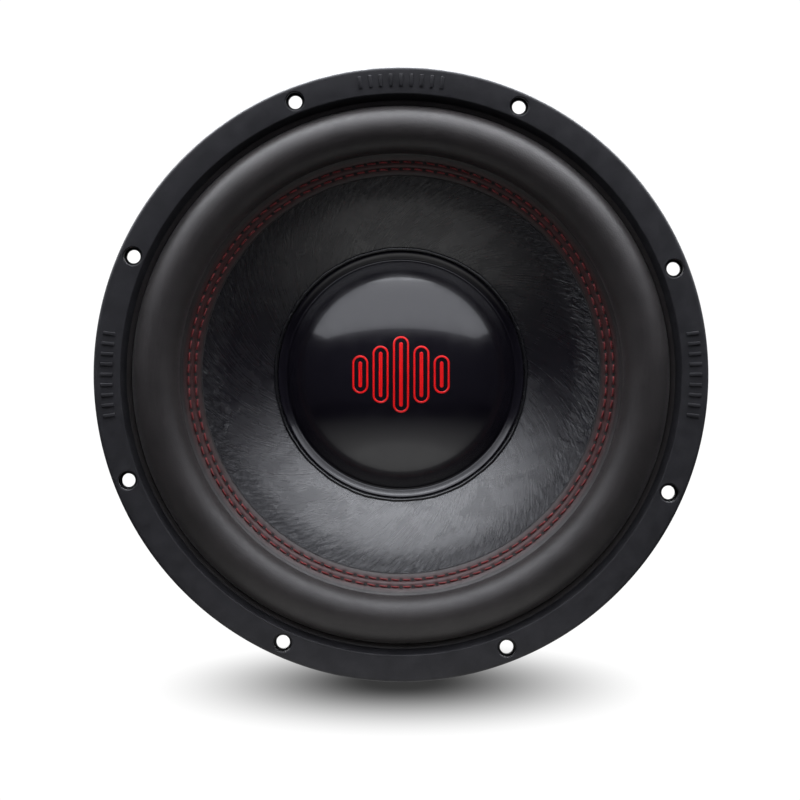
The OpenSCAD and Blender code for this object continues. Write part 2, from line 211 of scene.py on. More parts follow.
# %% Blocks with eased edges
def block(name, low, high, ease=0.4, steps=2):
    """A block between two corners given as (right, up, front) in mm."""
    corners = [Vector((x, -z, y)) * MM for x in (low[0], high[0])
               for y in (low[1], high[1]) for z in (low[2], high[2])]
    work = bmesh.new()
    for corner in corners:
        work.verts.new(corner)
    bmesh.ops.convex_hull(work, input=work.verts)
    bmesh.ops.dissolve_limit(work, angle_limit=0.02, verts=work.verts, edges=work.edges)
    if ease:
        bmesh.ops.bevel(work, geom=work.edges[:], offset=ease * MM, segments=steps,
                        profile=0.5, affect="EDGES")
    return finished(name, work)


# %% Wires along a path
def capped_tube(rows, sides):
    """Faces of a tube of that many rows, with a flat face at either end."""
    ends = [tuple(range(sides))[::-1], tuple((rows - 1) * sides + k for k in range(sides))]
    return closed_strip(rows, sides, sides, wrap=False) + ends


def tube(name, path, radius, sides=10, taper=0.0):
    """A wire of that radius along points in metres, with closed ends."""
    points = []
    count = len(path)
    side = None
    for i, here in enumerate(path):
        along = (path[min(i + 1, count - 1)] - path[max(i - 1, 0)]).normalized()
        if side is None:
            side = along.orthogonal().normalized()
        side = (side - along * side.dot(along)).normalized()
        other = along.cross(side)
        end_share = min(i, count - 1 - i) / max(1, count - 1) * 2
        size = radius * (1 - taper * (1 - end_share) ** 4)
        for k in range(sides):
            turn = 2 * math.pi * k / sides
            points.append(here + (side * math.cos(turn) + other * math.sin(turn)) * size)
    return solid(name, points, capped_tube(count, sides))


# %% Join and cut
def joined(name, parts):
    """One object out of several, for a piece that is one thing on the real object."""
    points, faces = [], []
    for part in parts:
        first = len(points)
        points += [part.matrix_world @ v.co for v in part.data.vertices]
        faces += [tuple(first + i for i in f.vertices) for f in part.data.polygons]
        bpy.data.objects.remove(part)
    return new_object(name, plain_mesh(name, points, faces))


def cut(obj, cutters):
    """Takes the cutters out of obj and removes them from the scene."""
    for cutter in cutters:
        step = obj.modifiers.new("cut", "BOOLEAN")
        step.operation = "DIFFERENCE"
        step.solver = "EXACT"
        step.object = cutter
    bpy.context.view_layer.update()
    graph = bpy.context.evaluated_depsgraph_get()
    mesh = bpy.data.meshes.new_from_object(obj.evaluated_get(graph))
    obj.modifiers.clear()
    obj.data = mesh
    mesh.shade_smooth()
    mesh.set_sharp_from_angle(angle=math.radians(35))
    for cutter in cutters:
        bpy.data.objects.remove(cutter)
    return obj


def drill(radius, angle, front, back, hole_r, ease=0.4):
    """A cutter for a round hole along the axis, wider where it breaks the front."""
    middle = place(radius, angle, 0)
    profile = [(0, front + 2), (hole_r + ease + 2, front + 2), (hole_r, front - ease),
               (hole_r, back - 2), (0, back - 2)]
    cutter = revolve("drill", profile, steps=40, closed=False)
    cutter.data.transform(Matrix.Translation(middle))
    return cutter


# %% [markdown]
# ## Finishes
# Each finish is a shader built from a few repeated ideas: two close colours mixed by
# noise, a roughness that drifts between two values, and a fine relief. The driver is
# almost all black, so the finishes differ mostly in gloss and grain, and those have to
# be right for it to read as rubber, foam, paper, lacquer and steel.

# %% A small workshop for shaders
class Finish:
    """A material with its own coordinates, in millimetres, and a chain of reliefs."""

    def __init__(self, name, metallic=0.0, coat=0.0, coat_rough=0.1, sheen=0.0,
                 specular=0.5):
        self.material = bpy.data.materials.new(name)
        self.material.use_nodes = True
        self.nodes = self.material.node_tree.nodes
        self.links = self.material.node_tree.links
        self.shader = self.nodes["Principled BSDF"]
        self.shader.inputs["Metallic"].default_value = metallic
        self.shader.inputs["Coat Weight"].default_value = coat
        self.shader.inputs["Coat Roughness"].default_value = coat_rough
        self.shader.inputs["Sheen Weight"].default_value = sheen
        self.shader.inputs["Specular IOR Level"].default_value = specular
        coordinates = self.nodes.new("ShaderNodeTexCoord")
        self.scale = self.nodes.new("ShaderNodeVectorMath")
        self.scale.operation = "SCALE"
        self.scale.inputs["Scale"].default_value = 1 / MM
        self.links.new(coordinates.outputs["Object"], self.scale.inputs[0])
        self.place = self.scale.outputs[0]
        self.relief = None

    def math(self, kind, a, b=0.0):
        node = self.nodes.new("ShaderNodeMath")
        node.operation = kind
        for socket, value in zip(node.inputs, (a, b)):
            if isinstance(value, (int, float)):
                socket.default_value = value
            else:
                self.links.new(value, socket)
        return node.outputs[0]

    def split(self):
        node = self.nodes.new("ShaderNodeSeparateXYZ")
        self.links.new(self.place, node.inputs[0])
        return node.outputs

    def radius(self):
        """Distance from the driver's axis, in mm."""
        x, _, z = self.split()
        return self.math("SQRT", self.math("ADD", self.math("MULTIPLY", x, x),
                                           self.math("MULTIPLY", z, z)))

    def round_place(self, turns, along, lean=0.0):
        """Coordinates that follow the circle: turns sets how often a pattern repeats
        round it, along how often across it, and lean slants it."""
        x, y, z = self.split()
        radius = self.radius()
        angle = self.math("ADD", self.math("ARCTAN2", z, x),
                          self.math("MULTIPLY", radius, lean))
        node = self.nodes.new("ShaderNodeCombineXYZ")
        for socket, value in zip(node.inputs, (
                self.math("MULTIPLY", self.math("COSINE", angle), turns),
                self.math("MULTIPLY", self.math("SINE", angle), turns),
                self.math("MULTIPLY", self.math("ADD", radius, y), along))):
            self.links.new(value, socket)
        return node.outputs[0]

    def noise(self, size, detail=3.0, rough=0.55, at=None, distortion=0.0):
        """Cloudy noise whose lumps are about size mm across."""
        node = self.nodes.new("ShaderNodeTexNoise")
        node.inputs["Scale"].default_value = 1 / size
        node.inputs["Detail"].default_value = detail
        node.inputs["Roughness"].default_value = rough
        node.inputs["Distortion"].default_value = distortion
        self.links.new(at or self.place, node.inputs["Vector"])
        return node.outputs["Fac"]

    def cells(self, size):
        """Distance to the middle of small cells, for pores and grains."""
        node = self.nodes.new("ShaderNodeTexVoronoi")
        node.inputs["Scale"].default_value = 1 / size
        self.links.new(self.place, node.inputs["Vector"])
        return node.outputs["Distance"]

    def between(self, value, low, high, out_low=0.0, out_high=1.0):
        node = self.nodes.new("ShaderNodeMapRange")
        self.links.new(value, node.inputs["Value"])
        for name, number in (("From Min", low), ("From Max", high),
                             ("To Min", out_low), ("To Max", out_high)):
            node.inputs[name].default_value = number
        return node.outputs[0]

    def colours(self, factor, dark, light):
        """Mixes two colours. The first may be what an earlier call of this gave."""
        node = self.nodes.new("ShaderNodeMix")
        node.data_type = "RGBA"
        _, first, second = (s for s in node.inputs if s.enabled)
        self.links.new(factor, node.inputs[0])
        if isinstance(dark, tuple):
            first.default_value = (*dark, 1)
        else:
            self.links.new(dark, first)
        second.default_value = (*light, 1)
        mixed = next(s for s in node.outputs if s.enabled)
        self.links.new(mixed, self.shader.inputs["Base Color"])
        return mixed

    def roughness(self, factor, low, high):
        value = self.between(factor, 0.3, 0.7, low, high)
        self.links.new(value, self.shader.inputs["Roughness"])

    def raise_by(self, height, depth):
        """Adds a relief: height is a pattern from 0 to 1, depth its size in mm."""
        node = self.nodes.new("ShaderNodeBump")
        node.inputs["Distance"].default_value = depth * MM
        node.inputs["Strength"].default_value = 1.0
        self.links.new(height, node.inputs["Height"])
        if self.relief:
            self.links.new(self.relief, node.inputs["Normal"])
        self.relief = node.outputs[0]
        self.links.new(self.relief, self.shader.inputs["Normal"])


def paint(obj, finish):
    """Gives a piece its finish."""
    obj.data.materials.clear()
    obj.data.materials.append(finish.material)
    return obj


def fit(obj, finish, slot, node, body):
    """Finishes a piece that stands for a CAD node and rides on a body."""
    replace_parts(paint(obj, finish), node)
    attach(obj, body)


# %% [markdown]
# ### Rubber, foam and glue
# The gasket is moulded rubber with a dry, faintly mottled face. The surround's foam has
# a satin skin with a fine even grain that catches the light from above in a soft band.
# Glue is wet-looking, so it is nearly smooth with slow waves in it.

# %% Gasket rubber
def gasket_rubber():
    finish = Finish("gasket_rubber", specular=0.34)
    cloud = finish.noise(9, 4)
    finish.colours(finish.between(cloud, 0.35, 0.7), (0.0076, 0.0074, 0.0092),
                   (0.0146, 0.0143, 0.0168))
    finish.roughness(finish.noise(5, 3), 0.5, 0.66)
    finish.raise_by(finish.noise(0.45, 2), 0.035)
    finish.raise_by(finish.noise(6, 2), 0.05)
    return finish


# %% Foam skin
SEAM_R = 107.9


def foam_skin():
    """Dull black foam, with red dye from the thread soaked in along the seam."""
    finish = Finish("foam_skin", specular=0.42, sheen=0.05)
    finish.shader.inputs["Sheen Roughness"].default_value = 0.5
    cloud = finish.noise(14, 4)
    skin = finish.colours(finish.between(cloud, 0.3, 0.7), (0.0095, 0.0077, 0.0076),
                          (0.0172, 0.0144, 0.0142))
    across = finish.math("ABSOLUTE", finish.math("SUBTRACT", finish.radius(), SEAM_R))
    dye = finish.math("MULTIPLY", finish.between(across, 4.8, 2.2),
                      finish.between(finish.noise(1.6, 3), 0.3, 0.62, 0.45, 1.0))
    finish.colours(dye, skin, (0.036, 0.005, 0.005))
    finish.roughness(finish.noise(2.2, 4), 0.42, 0.54)
    finish.raise_by(finish.noise(0.55, 3, 0.7), 0.07)
    finish.raise_by(finish.cells(0.8), 0.03)
    finish.raise_by(finish.noise(11, 2), 0.12)
    return finish


# %% Glue
def glue_gloss():
    finish = Finish("glue_gloss", coat=0.5, coat_rough=0.08)
    finish.colours(finish.noise(3, 2), (0.006, 0.006, 0.007), (0.014, 0.014, 0.015))
    finish.roughness(finish.noise(2, 2), 0.15, 0.3)
    finish.raise_by(finish.noise(2.4, 2), 0.12)
    return finish


# %% [markdown]
# ### The cone's fibre
# The cone is pressed from long fibres and sealed with a clear size, so it shines softly
# while slanted streaks and short wrinkles break the shine up. The streaks follow the
# circle, which is why their coordinates are worked out from the angle round the axis.

# %% Cone fibre
def cone_fibre():
    finish = Finish("cone_fibre", coat=0.14, coat_rough=0.26)
    streaks = finish.noise(1.0, 4, 0.62, finish.round_place(95, 0.16, 0.012), 0.4)
    cross = finish.noise(1.0, 4, 0.6, finish.round_place(40, 0.55, 0.03), 0.8)
    patches = finish.noise(17, 3, 0.5, None, 0.6)
    finish.colours(finish.between(streaks, 0.35, 0.7), (0.0032, 0.003, 0.0046),
                   (0.009, 0.0086, 0.0114))
    finish.roughness(finish.math("MULTIPLY", finish.math("ADD", streaks, patches), 0.5),
                     0.2, 0.34)
    finish.raise_by(streaks, 0.13)
    finish.raise_by(finish.math("MULTIPLY", cross, finish.between(patches, 0.42, 0.62)), 0.22)
    fibres = finish.noise(1.0, 5, 0.66, finish.round_place(60, 0.75, -0.025), 0.3)
    finish.raise_by(fibres, 0.16)
    finish.raise_by(finish.noise(0.7, 3), 0.08)
    finish.shader.inputs["Specular IOR Level"].default_value = 0.6
    # The size lies thickest near the cap and thins out towards the rim.
    size_coat = finish.between(finish.radius(), 67, 98, 0.85, 0.33)
    finish.links.new(size_coat, finish.shader.inputs["Specular IOR Level"])
    rim = finish.between(finish.radius(), 88, 104)
    wrinkle = finish.noise(1.0, 4, 0.6, finish.round_place(34, 0.75, 0.008), 1.2)
    finish.raise_by(finish.math("MULTIPLY", wrinkle, rim), 2.2)
    return finish


# %% [markdown]
# ### Lacquer, thread and plastic
# The cap is moulded in glossy black and carries a red raised outline. The thread is dull
# and twisted. The terminal blocks and their buttons are everyday moulded plastic.

# %% Glossy cap
def cap_gloss():
    finish = Finish("cap_gloss", coat=0.35, coat_rough=0.05)
    finish.colours(finish.noise(30, 2), (0.0042, 0.0036, 0.0062), (0.0066, 0.0058, 0.0092))
    finish.roughness(finish.noise(8, 3), 0.15, 0.22)
    finish.raise_by(finish.noise(16, 2), 0.05)
    finish.raise_by(finish.noise(0.9, 2), 0.0025)
    return finish


# %% Red lacquer
def red_lacquer():
    finish = Finish("red_lacquer", specular=0.3, coat=0.2, coat_rough=0.16)
    finish.colours(finish.noise(2.5, 3), (0.78, 0.006, 0.008), (0.92, 0.012, 0.014))
    finish.roughness(finish.noise(1.5, 3), 0.28, 0.42)
    finish.raise_by(finish.noise(0.5, 2), 0.02)
    return finish


# %% Twisted thread
def twisted_thread():
    finish = Finish("twisted_thread", sheen=0.15, specular=0.3)
    plies = finish.noise(1.0, 2, 0.5, finish.round_place(330, 1.6, 0.05))
    finish.colours(finish.between(plies, 0.35, 0.65), (0.07, 0.005, 0.006), (0.24, 0.018, 0.02))
    finish.roughness(plies, 0.6, 0.8)
    finish.raise_by(plies, 0.16)
    return finish


# %% Moulded plastic
def moulded(name, dark, light, rough=(0.3, 0.45)):
    finish = Finish(name)
    finish.colours(finish.noise(4, 3), dark, light)
    finish.roughness(finish.noise(2, 3), *rough)
    finish.raise_by(finish.noise(0.35, 2), 0.012)
    return finish


# %% [markdown]
# ### Metals, ferrite and cloth
# The basket is cast and powder coated, which leaves a fine orange-peel texture. Steel
# plates are turned and plated, so rings run round them. Ferrite is ground and slightly
# grey. The spider is woven cotton dipped in resin, so its relief is a real weave.

# %% Powder coat
def powder_coat():
    finish = Finish("powder_coat")
    cloud = finish.noise(12, 4)
    finish.colours(finish.between(cloud, 0.35, 0.7), (0.011, 0.011, 0.012),
                   (0.022, 0.022, 0.023))
    finish.roughness(finish.noise(3, 3), 0.34, 0.5)
    finish.raise_by(finish.noise(0.8, 2), 0.07)
    finish.raise_by(finish.noise(0.3, 2), 0.02)
    return finish


# %% Turned metal
def turned_metal(name, dark, light, rough=(0.22, 0.4), ring=0.35):
    """Metal with the fine rings that a lathe leaves, ring mm apart."""
    finish = Finish(name, metallic=1.0)
    rings = finish.noise(1.0, 3, 0.6, finish.round_place(2.5, 1 / ring))
    blotch = finish.noise(13, 4)
    finish.colours(finish.between(blotch, 0.1, 0.9), dark, light)
    even = finish.math("ADD", finish.math("MULTIPLY", rings, 0.75),
                       finish.math("MULTIPLY", blotch, 0.25))
    finish.roughness(even, *rough)
    finish.raise_by(rings, 0.02)
    return finish


# %% Drawn and pressed metal
def pressed_metal(name, dark, light, rough=(0.2, 0.38)):
    finish = Finish(name, metallic=1.0)
    scuffs = finish.noise(2.2, 5, 0.7)
    finish.colours(finish.between(scuffs, 0.35, 0.65), dark, light)
    finish.roughness(scuffs, *rough)
    finish.raise_by(finish.noise(0.25, 3), 0.008)
    return finish


# %% Ground ferrite
def ground_ferrite():
    finish = Finish("ground_ferrite")
    grain = finish.noise(0.5, 4, 0.7)
    finish.colours(finish.between(finish.noise(6, 5), 0.3, 0.7), (0.03, 0.03, 0.032),
                   (0.07, 0.07, 0.073))
    finish.roughness(grain, 0.45, 0.65)
    finish.raise_by(grain, 0.05)
    return finish


# %% Woven spider cloth
def spider_cloth():
    finish = Finish("spider_cloth", sheen=0.25, specular=0.4, coat=0.08, coat_rough=0.4)
    x, _, z = finish.split()
    thread_pitch = 0.9
    warp = finish.math("SINE", finish.math("MULTIPLY", x, 2 * math.pi / thread_pitch))
    weft = finish.math("SINE", finish.math("MULTIPLY", z, 2 * math.pi / thread_pitch))
    weave = finish.between(finish.math("MULTIPLY", warp, weft), -1, 1)
    finish.colours(finish.math("MULTIPLY", finish.math("ADD", weave, finish.noise(8, 3)), 0.5),
                   (0.25, 0.15, 0.02), (0.62, 0.42, 0.1))
    finish.roughness(weave, 0.45, 0.7)
    finish.raise_by(weave, 0.16)
    finish.raise_by(finish.noise(4, 2), 0.1)
    return finish


# %% Kraft paper
def kraft_paper():
    finish = Finish("kraft_paper", specular=0.35)
    fibres = finish.noise(1.0, 4, 0.6, finish.round_place(60, 2.4))
    finish.colours(finish.between(fibres, 0.3, 0.7), (0.3, 0.16, 0.06), (0.5, 0.3, 0.14))
    finish.roughness(fibres, 0.6, 0.8)
    finish.raise_by(fibres, 0.05)
    return finish


# %% Mix every finish once
RUBBER = gasket_rubber()
FOAM = foam_skin()
GLUE = glue_gloss()
FIBRE = cone_fibre()
CAP = cap_gloss()
RED = red_lacquer()
THREAD = twisted_thread()
HOUSING = moulded("housing_plastic", (0.012, 0.012, 0.013), (0.022, 0.022, 0.023), (0.42, 0.58))
BUTTON_RED = moulded("button_red_plastic", (0.36, 0.012, 0.012), (0.45, 0.02, 0.02))
BUTTON_BLACK = moulded("button_black_plastic", (0.01, 0.01, 0.011), (0.02, 0.02, 0.021))
BOOT = moulded("boot_rubber", (0.012, 0.012, 0.0125), (0.024, 0.024, 0.025), (0.5, 0.68))
COAT = powder_coat()
PLATE = turned_metal("plate_steel", (0.07, 0.07, 0.074), (0.11, 0.11, 0.115), (0.3, 0.42))
ALUMINIUM = turned_metal("turned_aluminium", (0.6, 0.61, 0.62), (0.75, 0.76, 0.77))
FOIL = turned_metal("former_foil", (0.62, 0.63, 0.64), (0.78, 0.79, 0.8), (0.2, 0.32), 1.5)
COPPER = turned_metal("lacquered_copper", (0.5, 0.17, 0.07), (0.72, 0.29, 0.13), (0.2, 0.34))
BOLT = pressed_metal("bolt_steel", (0.22, 0.22, 0.23), (0.36, 0.36, 0.37))
SCREEN = pressed_metal("screen_steel", (0.12, 0.12, 0.13), (0.22, 0.22, 0.23))
SPRING = pressed_metal("spring_steel", (0.42, 0.42, 0.43), (0.6, 0.6, 0.61))
BRASS = pressed_metal("tinned_brass", (0.5, 0.36, 0.15), (0.74, 0.58, 0.3))
RIVET = pressed_metal("rivet_metal", (0.45, 0.45, 0.46), (0.62, 0.62, 0.63))
SOLDER = pressed_metal("solder_metal", (0.5, 0.49, 0.46), (0.68, 0.67, 0.63))
TINSEL = pressed_metal("tinsel_wire", (0.42, 0.2, 0.1), (0.68, 0.4, 0.22), (0.3, 0.5))
FERRITE = ground_ferrite()
CLOTH = spider_cloth()
KRAFT = kraft_paper()
print("finishes mixed:", len(bpy.data.materials))

# %% [markdown]
# ## The mounting gasket
# A thick rubber ring covers the flange and the edge of the surround. It is turned as a
# profile with eased edges, drilled for the eight screws with wider holes than the
# flange has, and carries three groups of plain raised ribs.

# %% Turn and drill the gasket
BOLT_CIRCLE_R = 150.5
BOLT_COUNT = 8
FIRST_HOLE = math.radians(21.2)
GASKET_HOLE_R = 4.7
FLANGE_HOLE_R = 3.5
SURROUND_T = 1.4
RIB_HEIGHT = 0.6
GASKET_INNER_R = 145.2
REBATE_R = 141.0

gasket_face = gasket.front - RIB_HEIGHT
rebate_z = flange_front + SURROUND_T + 0.02
gasket_profile = rounded([
    (GASKET_INNER_R, flange_front + 0.02, 0.2), (gasket.r - 0.06, flange_front + 0.02, 0.5),
    (gasket.r - 0.06, gasket_face, 1.8),
    (GASKET_INNER_R - 1, gasket_face, 0.9), (REBATE_R, rebate_z, 0.4),
    (GASKET_INNER_R, rebate_z, 0.1),
], 0.5, 5)
hole_angles = [FIRST_HOLE + 2 * math.pi * k / BOLT_COUNT for k in range(BOLT_COUNT)]
gasket_ring = revolve("gasket_ring", gasket_profile, 288)
cut(gasket_ring, [drill(BOLT_CIRCLE_R, a, gasket_face, flange_front, GASKET_HOLE_R, 0.5)
                  for a in hole_angles])
fit(gasket_ring, RUBBER, "gasket", "mounting_gasket", "frame")
print("gasket faces:", len(gasket_ring.data.polygons))

# %% Raised ribs on its face
RIB_START_R = 148.0
RIB_LENGTH, RIB_WIDTH = 6.4, 1.8


def face_ribs(middle, spread=8, count=9):
    ribs = []
    for k in range(count):
        angle = math.radians(middle - spread + 2 * spread * k / (count - 1))
        rib = block("rib", (RIB_START_R, -RIB_WIDTH / 2, gasket_face - 0.3),
                    (RIB_START_R + RIB_LENGTH, RIB_WIDTH / 2, gasket.front), 0.28, 3)
        rib.data.transform(Matrix.Rotation(-angle, 4, "Y"))
        ribs.append(rib)
    return ribs


gasket_ribs = joined("gasket_ribs", face_ribs(90) + face_ribs(0) + face_ribs(180))
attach(paint(gasket_ribs, RUBBER), "frame")

# %% [markdown]
# ## The surround
# The foam ring is one thin skin: a flat edge glued under the gasket, a half roll that
# lets the cone travel, a fine raised crease and an inner edge that lies on the cone and
# is sewn to it. The needle has puckered the foam, so the inner edge dips along the two
# seams and at every hole.

# %% The skin's outline
ROLL_MID_R = 126.2
ROLL_HALF_W = 12.3
STITCH_EDGE_R = 102.8
STITCH_RISE = 1.2 / math.cos(CONE_SLOPE)
STITCH_COUNT = 112
ROWS = {"inner": 106.1, "outer": 109.6}
SKIN_STEPS = STITCH_COUNT * 8
STITCH_STEP = 2 * math.pi / STITCH_COUNT


def stitched_face(radius):
    """Height of the surround's inner edge where it lies on the cone."""
    return cone_z(radius) + STITCH_RISE


front_line = [(STITCH_EDGE_R, cone_z(STITCH_EDGE_R) + 0.15),
              (STITCH_EDGE_R + 0.12, stitched_face(STITCH_EDGE_R) - 0.25),
              (STITCH_EDGE_R + 0.45, stitched_face(STITCH_EDGE_R + 0.45))]
front_line += [(r, stitched_face(r)) for r in np.arange(103.7, 112.4, 0.45)]
front_line += [(112.7, stitched_face(112.7) + 0.25), (113.1, stitched_face(113.1) + 0.42),
               (113.5, stitched_face(113.5) + 0.3)]
roll_outer = [(ROLL_MID_R - ROLL_HALF_W * math.cos(t),
               flange_front + (ROLL_HALF_W - 0.02) * math.sin(t))
              for t in np.linspace(0.1, math.pi - 0.04, 34)]
roll_inner = [(ROLL_MID_R + (ROLL_HALF_W - SURROUND_T) * math.cos(t),
               flange_front + (ROLL_HALF_W - SURROUND_T) * math.sin(t))
              for t in np.linspace(0.0, math.pi - 0.04, 20)]
skin_profile = (
    front_line + roll_outer
    + [(139.2, flange_front + SURROUND_T), (144.8, flange_front + SURROUND_T),
       (144.8, flange_front + 0.02), (137.6, flange_front + 0.02)]
    + roll_inner
    + [(113.7, CONE_EDGE_Z + 0.05), (STITCH_EDGE_R, cone_z(STITCH_EDGE_R) + 0.03)]
)
print("surround profile points:", len(skin_profile))

# %% Pucker it along the seams
foam_surround = revolve("foam_surround", skin_profile, SKIN_STEPS, sharp=60)


def pucker(obj):
    """Sinks the foam along both seams, most of all at each needle hole."""
    normal = Vector((-math.sin(CONE_SLOPE), math.cos(CONE_SLOPE)))
    for vertex in obj.data.vertices:
        x, y, z = (c / MM for c in vertex.co)
        radius, front, angle = math.hypot(x, z), -y, math.atan2(z, x)
        if not 103.4 < radius < 112.4 or front < stitched_face(radius) - 0.3:
            continue
        sink = 0.0
        for row_r in ROWS.values():
            across = abs(radius - row_r)
            nearest = round(angle / STITCH_STEP) * STITCH_STEP
            around = abs(angle - nearest) * row_r
            sink += 0.22 * math.exp(-(across / 0.9) ** 2)
            sink += 0.6 * math.exp(-(across / 0.75) ** 2 - (around / 0.95) ** 2)
        swell = 0.16 * math.exp(-((radius - SEAM_R) / 0.9) ** 2)
        radius -= normal.x * (sink - swell)
        front -= normal.y * (sink - swell)
        vertex.co = place(radius, angle, front)


pucker(foam_surround)
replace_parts(paint(foam_surround, FOAM), "surround")

# %% Bake its placement into the mesh
def bend_by_radius(obj):
    """Bakes the piece's placement into its mesh."""
    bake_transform(obj)


bend_by_radius(foam_surround)

# %% [markdown]
# ## The stitching
# Two rows of twisted thread hold the foam to the cone. Each stitch is a short bowed
# piece that rises out of one needle hole and dives into the next, so a row is one
# stitch repeated round the circle with a little unevenness, over needle holes whose
# darkness is painted shade.

# %% One row of thread
THREAD_R = 0.42
STITCH_LIFT = 0.34
STITCH_GAP = 0.17           # share of a step left free at each end of a stitch


def thread_row(name, row_r):
    stitches = []
    for k in range(STITCH_COUNT):
        slant = dice.uniform(-0.22, 0.22) + 0.25
        start = (k + STITCH_GAP) * STITCH_STEP
        end = (k + 1 - STITCH_GAP) * STITCH_STEP
        path = []
        for i in range(9):
            t = i / 8
            angle = start + (end - start) * t
            radius = row_r + slant * (t - 0.5)
            bow = 1 - (2 * t - 1) ** 4
            height = stitched_face(radius) - 0.45 + (0.45 + STITCH_LIFT) * bow
            path.append(place(radius, angle, height))
        stitches.append(tube("stitch", path, THREAD_R * MM, 8, 0.35))
    return joined(name, stitches)


for row, row_r in ROWS.items():
    thread = thread_row(f"thread_{row}", row_r)
    fit(thread, THREAD, "thread", f"stitching_{row}", "moving_cone")
    print("thread row", row, "faces:", len(thread.data.polygons))

# %% Needle holes
# Near-black cups sunk in the needle dents stand in for the shade inside each hole: painted shade.
HOLE_SHADE = moulded("needle_hole_painted_shade", (0.002, 0.002, 0.002), (0.004, 0.004, 0.004), (0.8, 0.95))


def needle_hole_shade(name):
    """A small near-black cup in each dent that the needle left, as painted shade of the hole."""
    cups = []
    for row_r in ROWS.values():
        for k in range(STITCH_COUNT):
            middle = place(row_r, k * STITCH_STEP, stitched_face(row_r) - 0.36)
            outline = []
            for i in range(10):
                turn = 2 * math.pi * i / 10
                across, around = 0.78 * math.cos(turn), 0.92 * math.sin(turn)
                outline.append(place(row_r + across, k * STITCH_STEP + around / row_r,
                                     stitched_face(row_r + across) - 0.26))
            faces = [(i, (i + 1) % 10, 10) for i in range(10)]
            cups.append(new_object("cup", plain_mesh("cup", [*outline, middle], faces)))
    return joined(name, cups)


holes = needle_hole_shade("needle_hole_shade")
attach(paint(holes, HOLE_SHADE), "moving_cone")

# %% [markdown]
# ## The cone
# A thin pressed shell with a straight wall. It is turned with many rings across it, and
# its face is very slightly uneven, as felted fibre is, which the coat of size shows up.

# %% Press the cone
CONE_RISE = 1.2 / math.cos(CONE_SLOPE)
neck_r = former.r
cone_front = [(r, cone_z(r)) for r in np.linspace(neck_r + 0.05, cone_edge_r, 70)]
cone_back = [(r, z - CONE_RISE) for r, z in reversed(cone_front)]
fibre_cone = revolve("fibre_cone", cone_front + cone_back, 320, sharp=60)


def press_unevenly(obj, depth=0.1):
    """Lowers the front face here and there by up to depth mm, never raising it."""
    for vertex in obj.data.vertices:
        x, y, z = (c / MM for c in vertex.co)
        radius, angle = math.hypot(x, z), math.atan2(z, x)
        if -y < cone_z(radius) - 0.3 or radius > 101:
            continue
        wave = (math.sin(7 * angle + radius * 0.21) + math.sin(13 * angle - radius * 0.33)
                + math.sin(23 * angle + radius * 0.57)) / 3
        vertex.co.y += depth * MM * (0.5 + 0.5 * wave)


press_unevenly(fibre_cone)
fit(fibre_cone, FIBRE, "cone_fibre", "cone", "moving_cone")

# %% [markdown]
# ## The dust cap and its bead
# The cap is a moulded dome with a foot and a slanted lip that sits on the cone. Its
# gloss shows every edge, so the foot's crease and the lip's edge are small smooth arcs.
# A bead of black glue, laid by hand and a little uneven, seals the lip to the cone.

# %% Mould the cap
CAP_T = 1.0
CAP_RISE = CAP_T / math.cos(CONE_SLOPE)
DOME_FOOT_R = 60.0
dome_height = cap_part.front - (cone_z(DOME_FOOT_R + 0.6) + CAP_RISE + 0.5)
cap_lip_r = cap_part.r
dome_r = (DOME_FOOT_R ** 2 + dome_height ** 2) / (2 * dome_height)
dome_centre = cap_part.front - dome_r


def dome_z(radius):
    return dome_centre + math.sqrt(dome_r ** 2 - radius ** 2)


dome_line = [(r, dome_z(r)) for r in np.linspace(0.0001, 58.9, 62)]
foot_line = [(59.3, dome_z(59.3) - 0.04), (59.65, dome_z(59.65) - 0.2),
             (59.85, dome_z(59.85) - 0.5), (60.0, cone_z(60.0) + CAP_RISE + 0.45),
             (60.4, cone_z(60.4) + CAP_RISE + 0.08), (60.9, cone_z(60.9) + CAP_RISE + 0.02)]
lip_line = [(r, cone_z(r) + CAP_RISE + 0.03) for r in (61.5, 62.3, 63.1, 63.9)]
lip_edge = [(64.3, cone_z(64.3) + CAP_RISE - 0.2), (cap_lip_r, cone_z(cap_lip_r) + 0.4),
            (cap_lip_r - 0.1, cone_z(cap_lip_r) + 0.05), (59.0, cone_z(59.0) + 0.05)]
inside_line = [(r, dome_z(r) - CAP_T) for r in np.linspace(58.2, 0.0001, 24)]
cap_dome = revolve("cap_dome", dome_line + foot_line + lip_line + lip_edge + inside_line,
                   320, closed=False, sharp=50)
fit(cap_dome, CAP, "gloss_cap", "dust_cap", "moving_cone")
print("dome radius", round(dome_r, 1), "crest at", round(cap_part.front, 1))

# %% Lay the glue bead
BEAD_W = 2.0
bead_profile = [(cap_lip_r + 0.05, cone_z(cap_lip_r) + 0.1)]
bead_profile += [
    (cap_lip_r + BEAD_W * t,
     cone_z(cap_lip_r + BEAD_W * t) + 0.05 + 1.15 * math.sin(math.pi * t) ** 0.7)
    for t in np.linspace(0.04, 0.96, 9)
]
bead_profile += [(cap_lip_r + BEAD_W, cone_z(cap_lip_r + BEAD_W) + 0.03)]
cap_bead = revolve("cap_bead", bead_profile, 320, sharp=80)
for vertex in cap_bead.data.vertices:
    angle = math.atan2(vertex.co.z, vertex.co.x)
    radius = math.hypot(vertex.co.x, vertex.co.z) / MM
    outward = (radius - cap_lip_r) / BEAD_W
    drift = (0.12 * math.sin(9 * angle) + 0.1 * math.sin(23 * angle + 1)
             + 0.06 * math.sin(57 * angle))
    vertex.co = place(radius + drift * outward, angle,
                      -vertex.co.y / MM + drift * outward * math.tan(CONE_SLOPE))
fit(cap_bead, GLUE, "glue", "dust_cap_bead", "moving_cone")

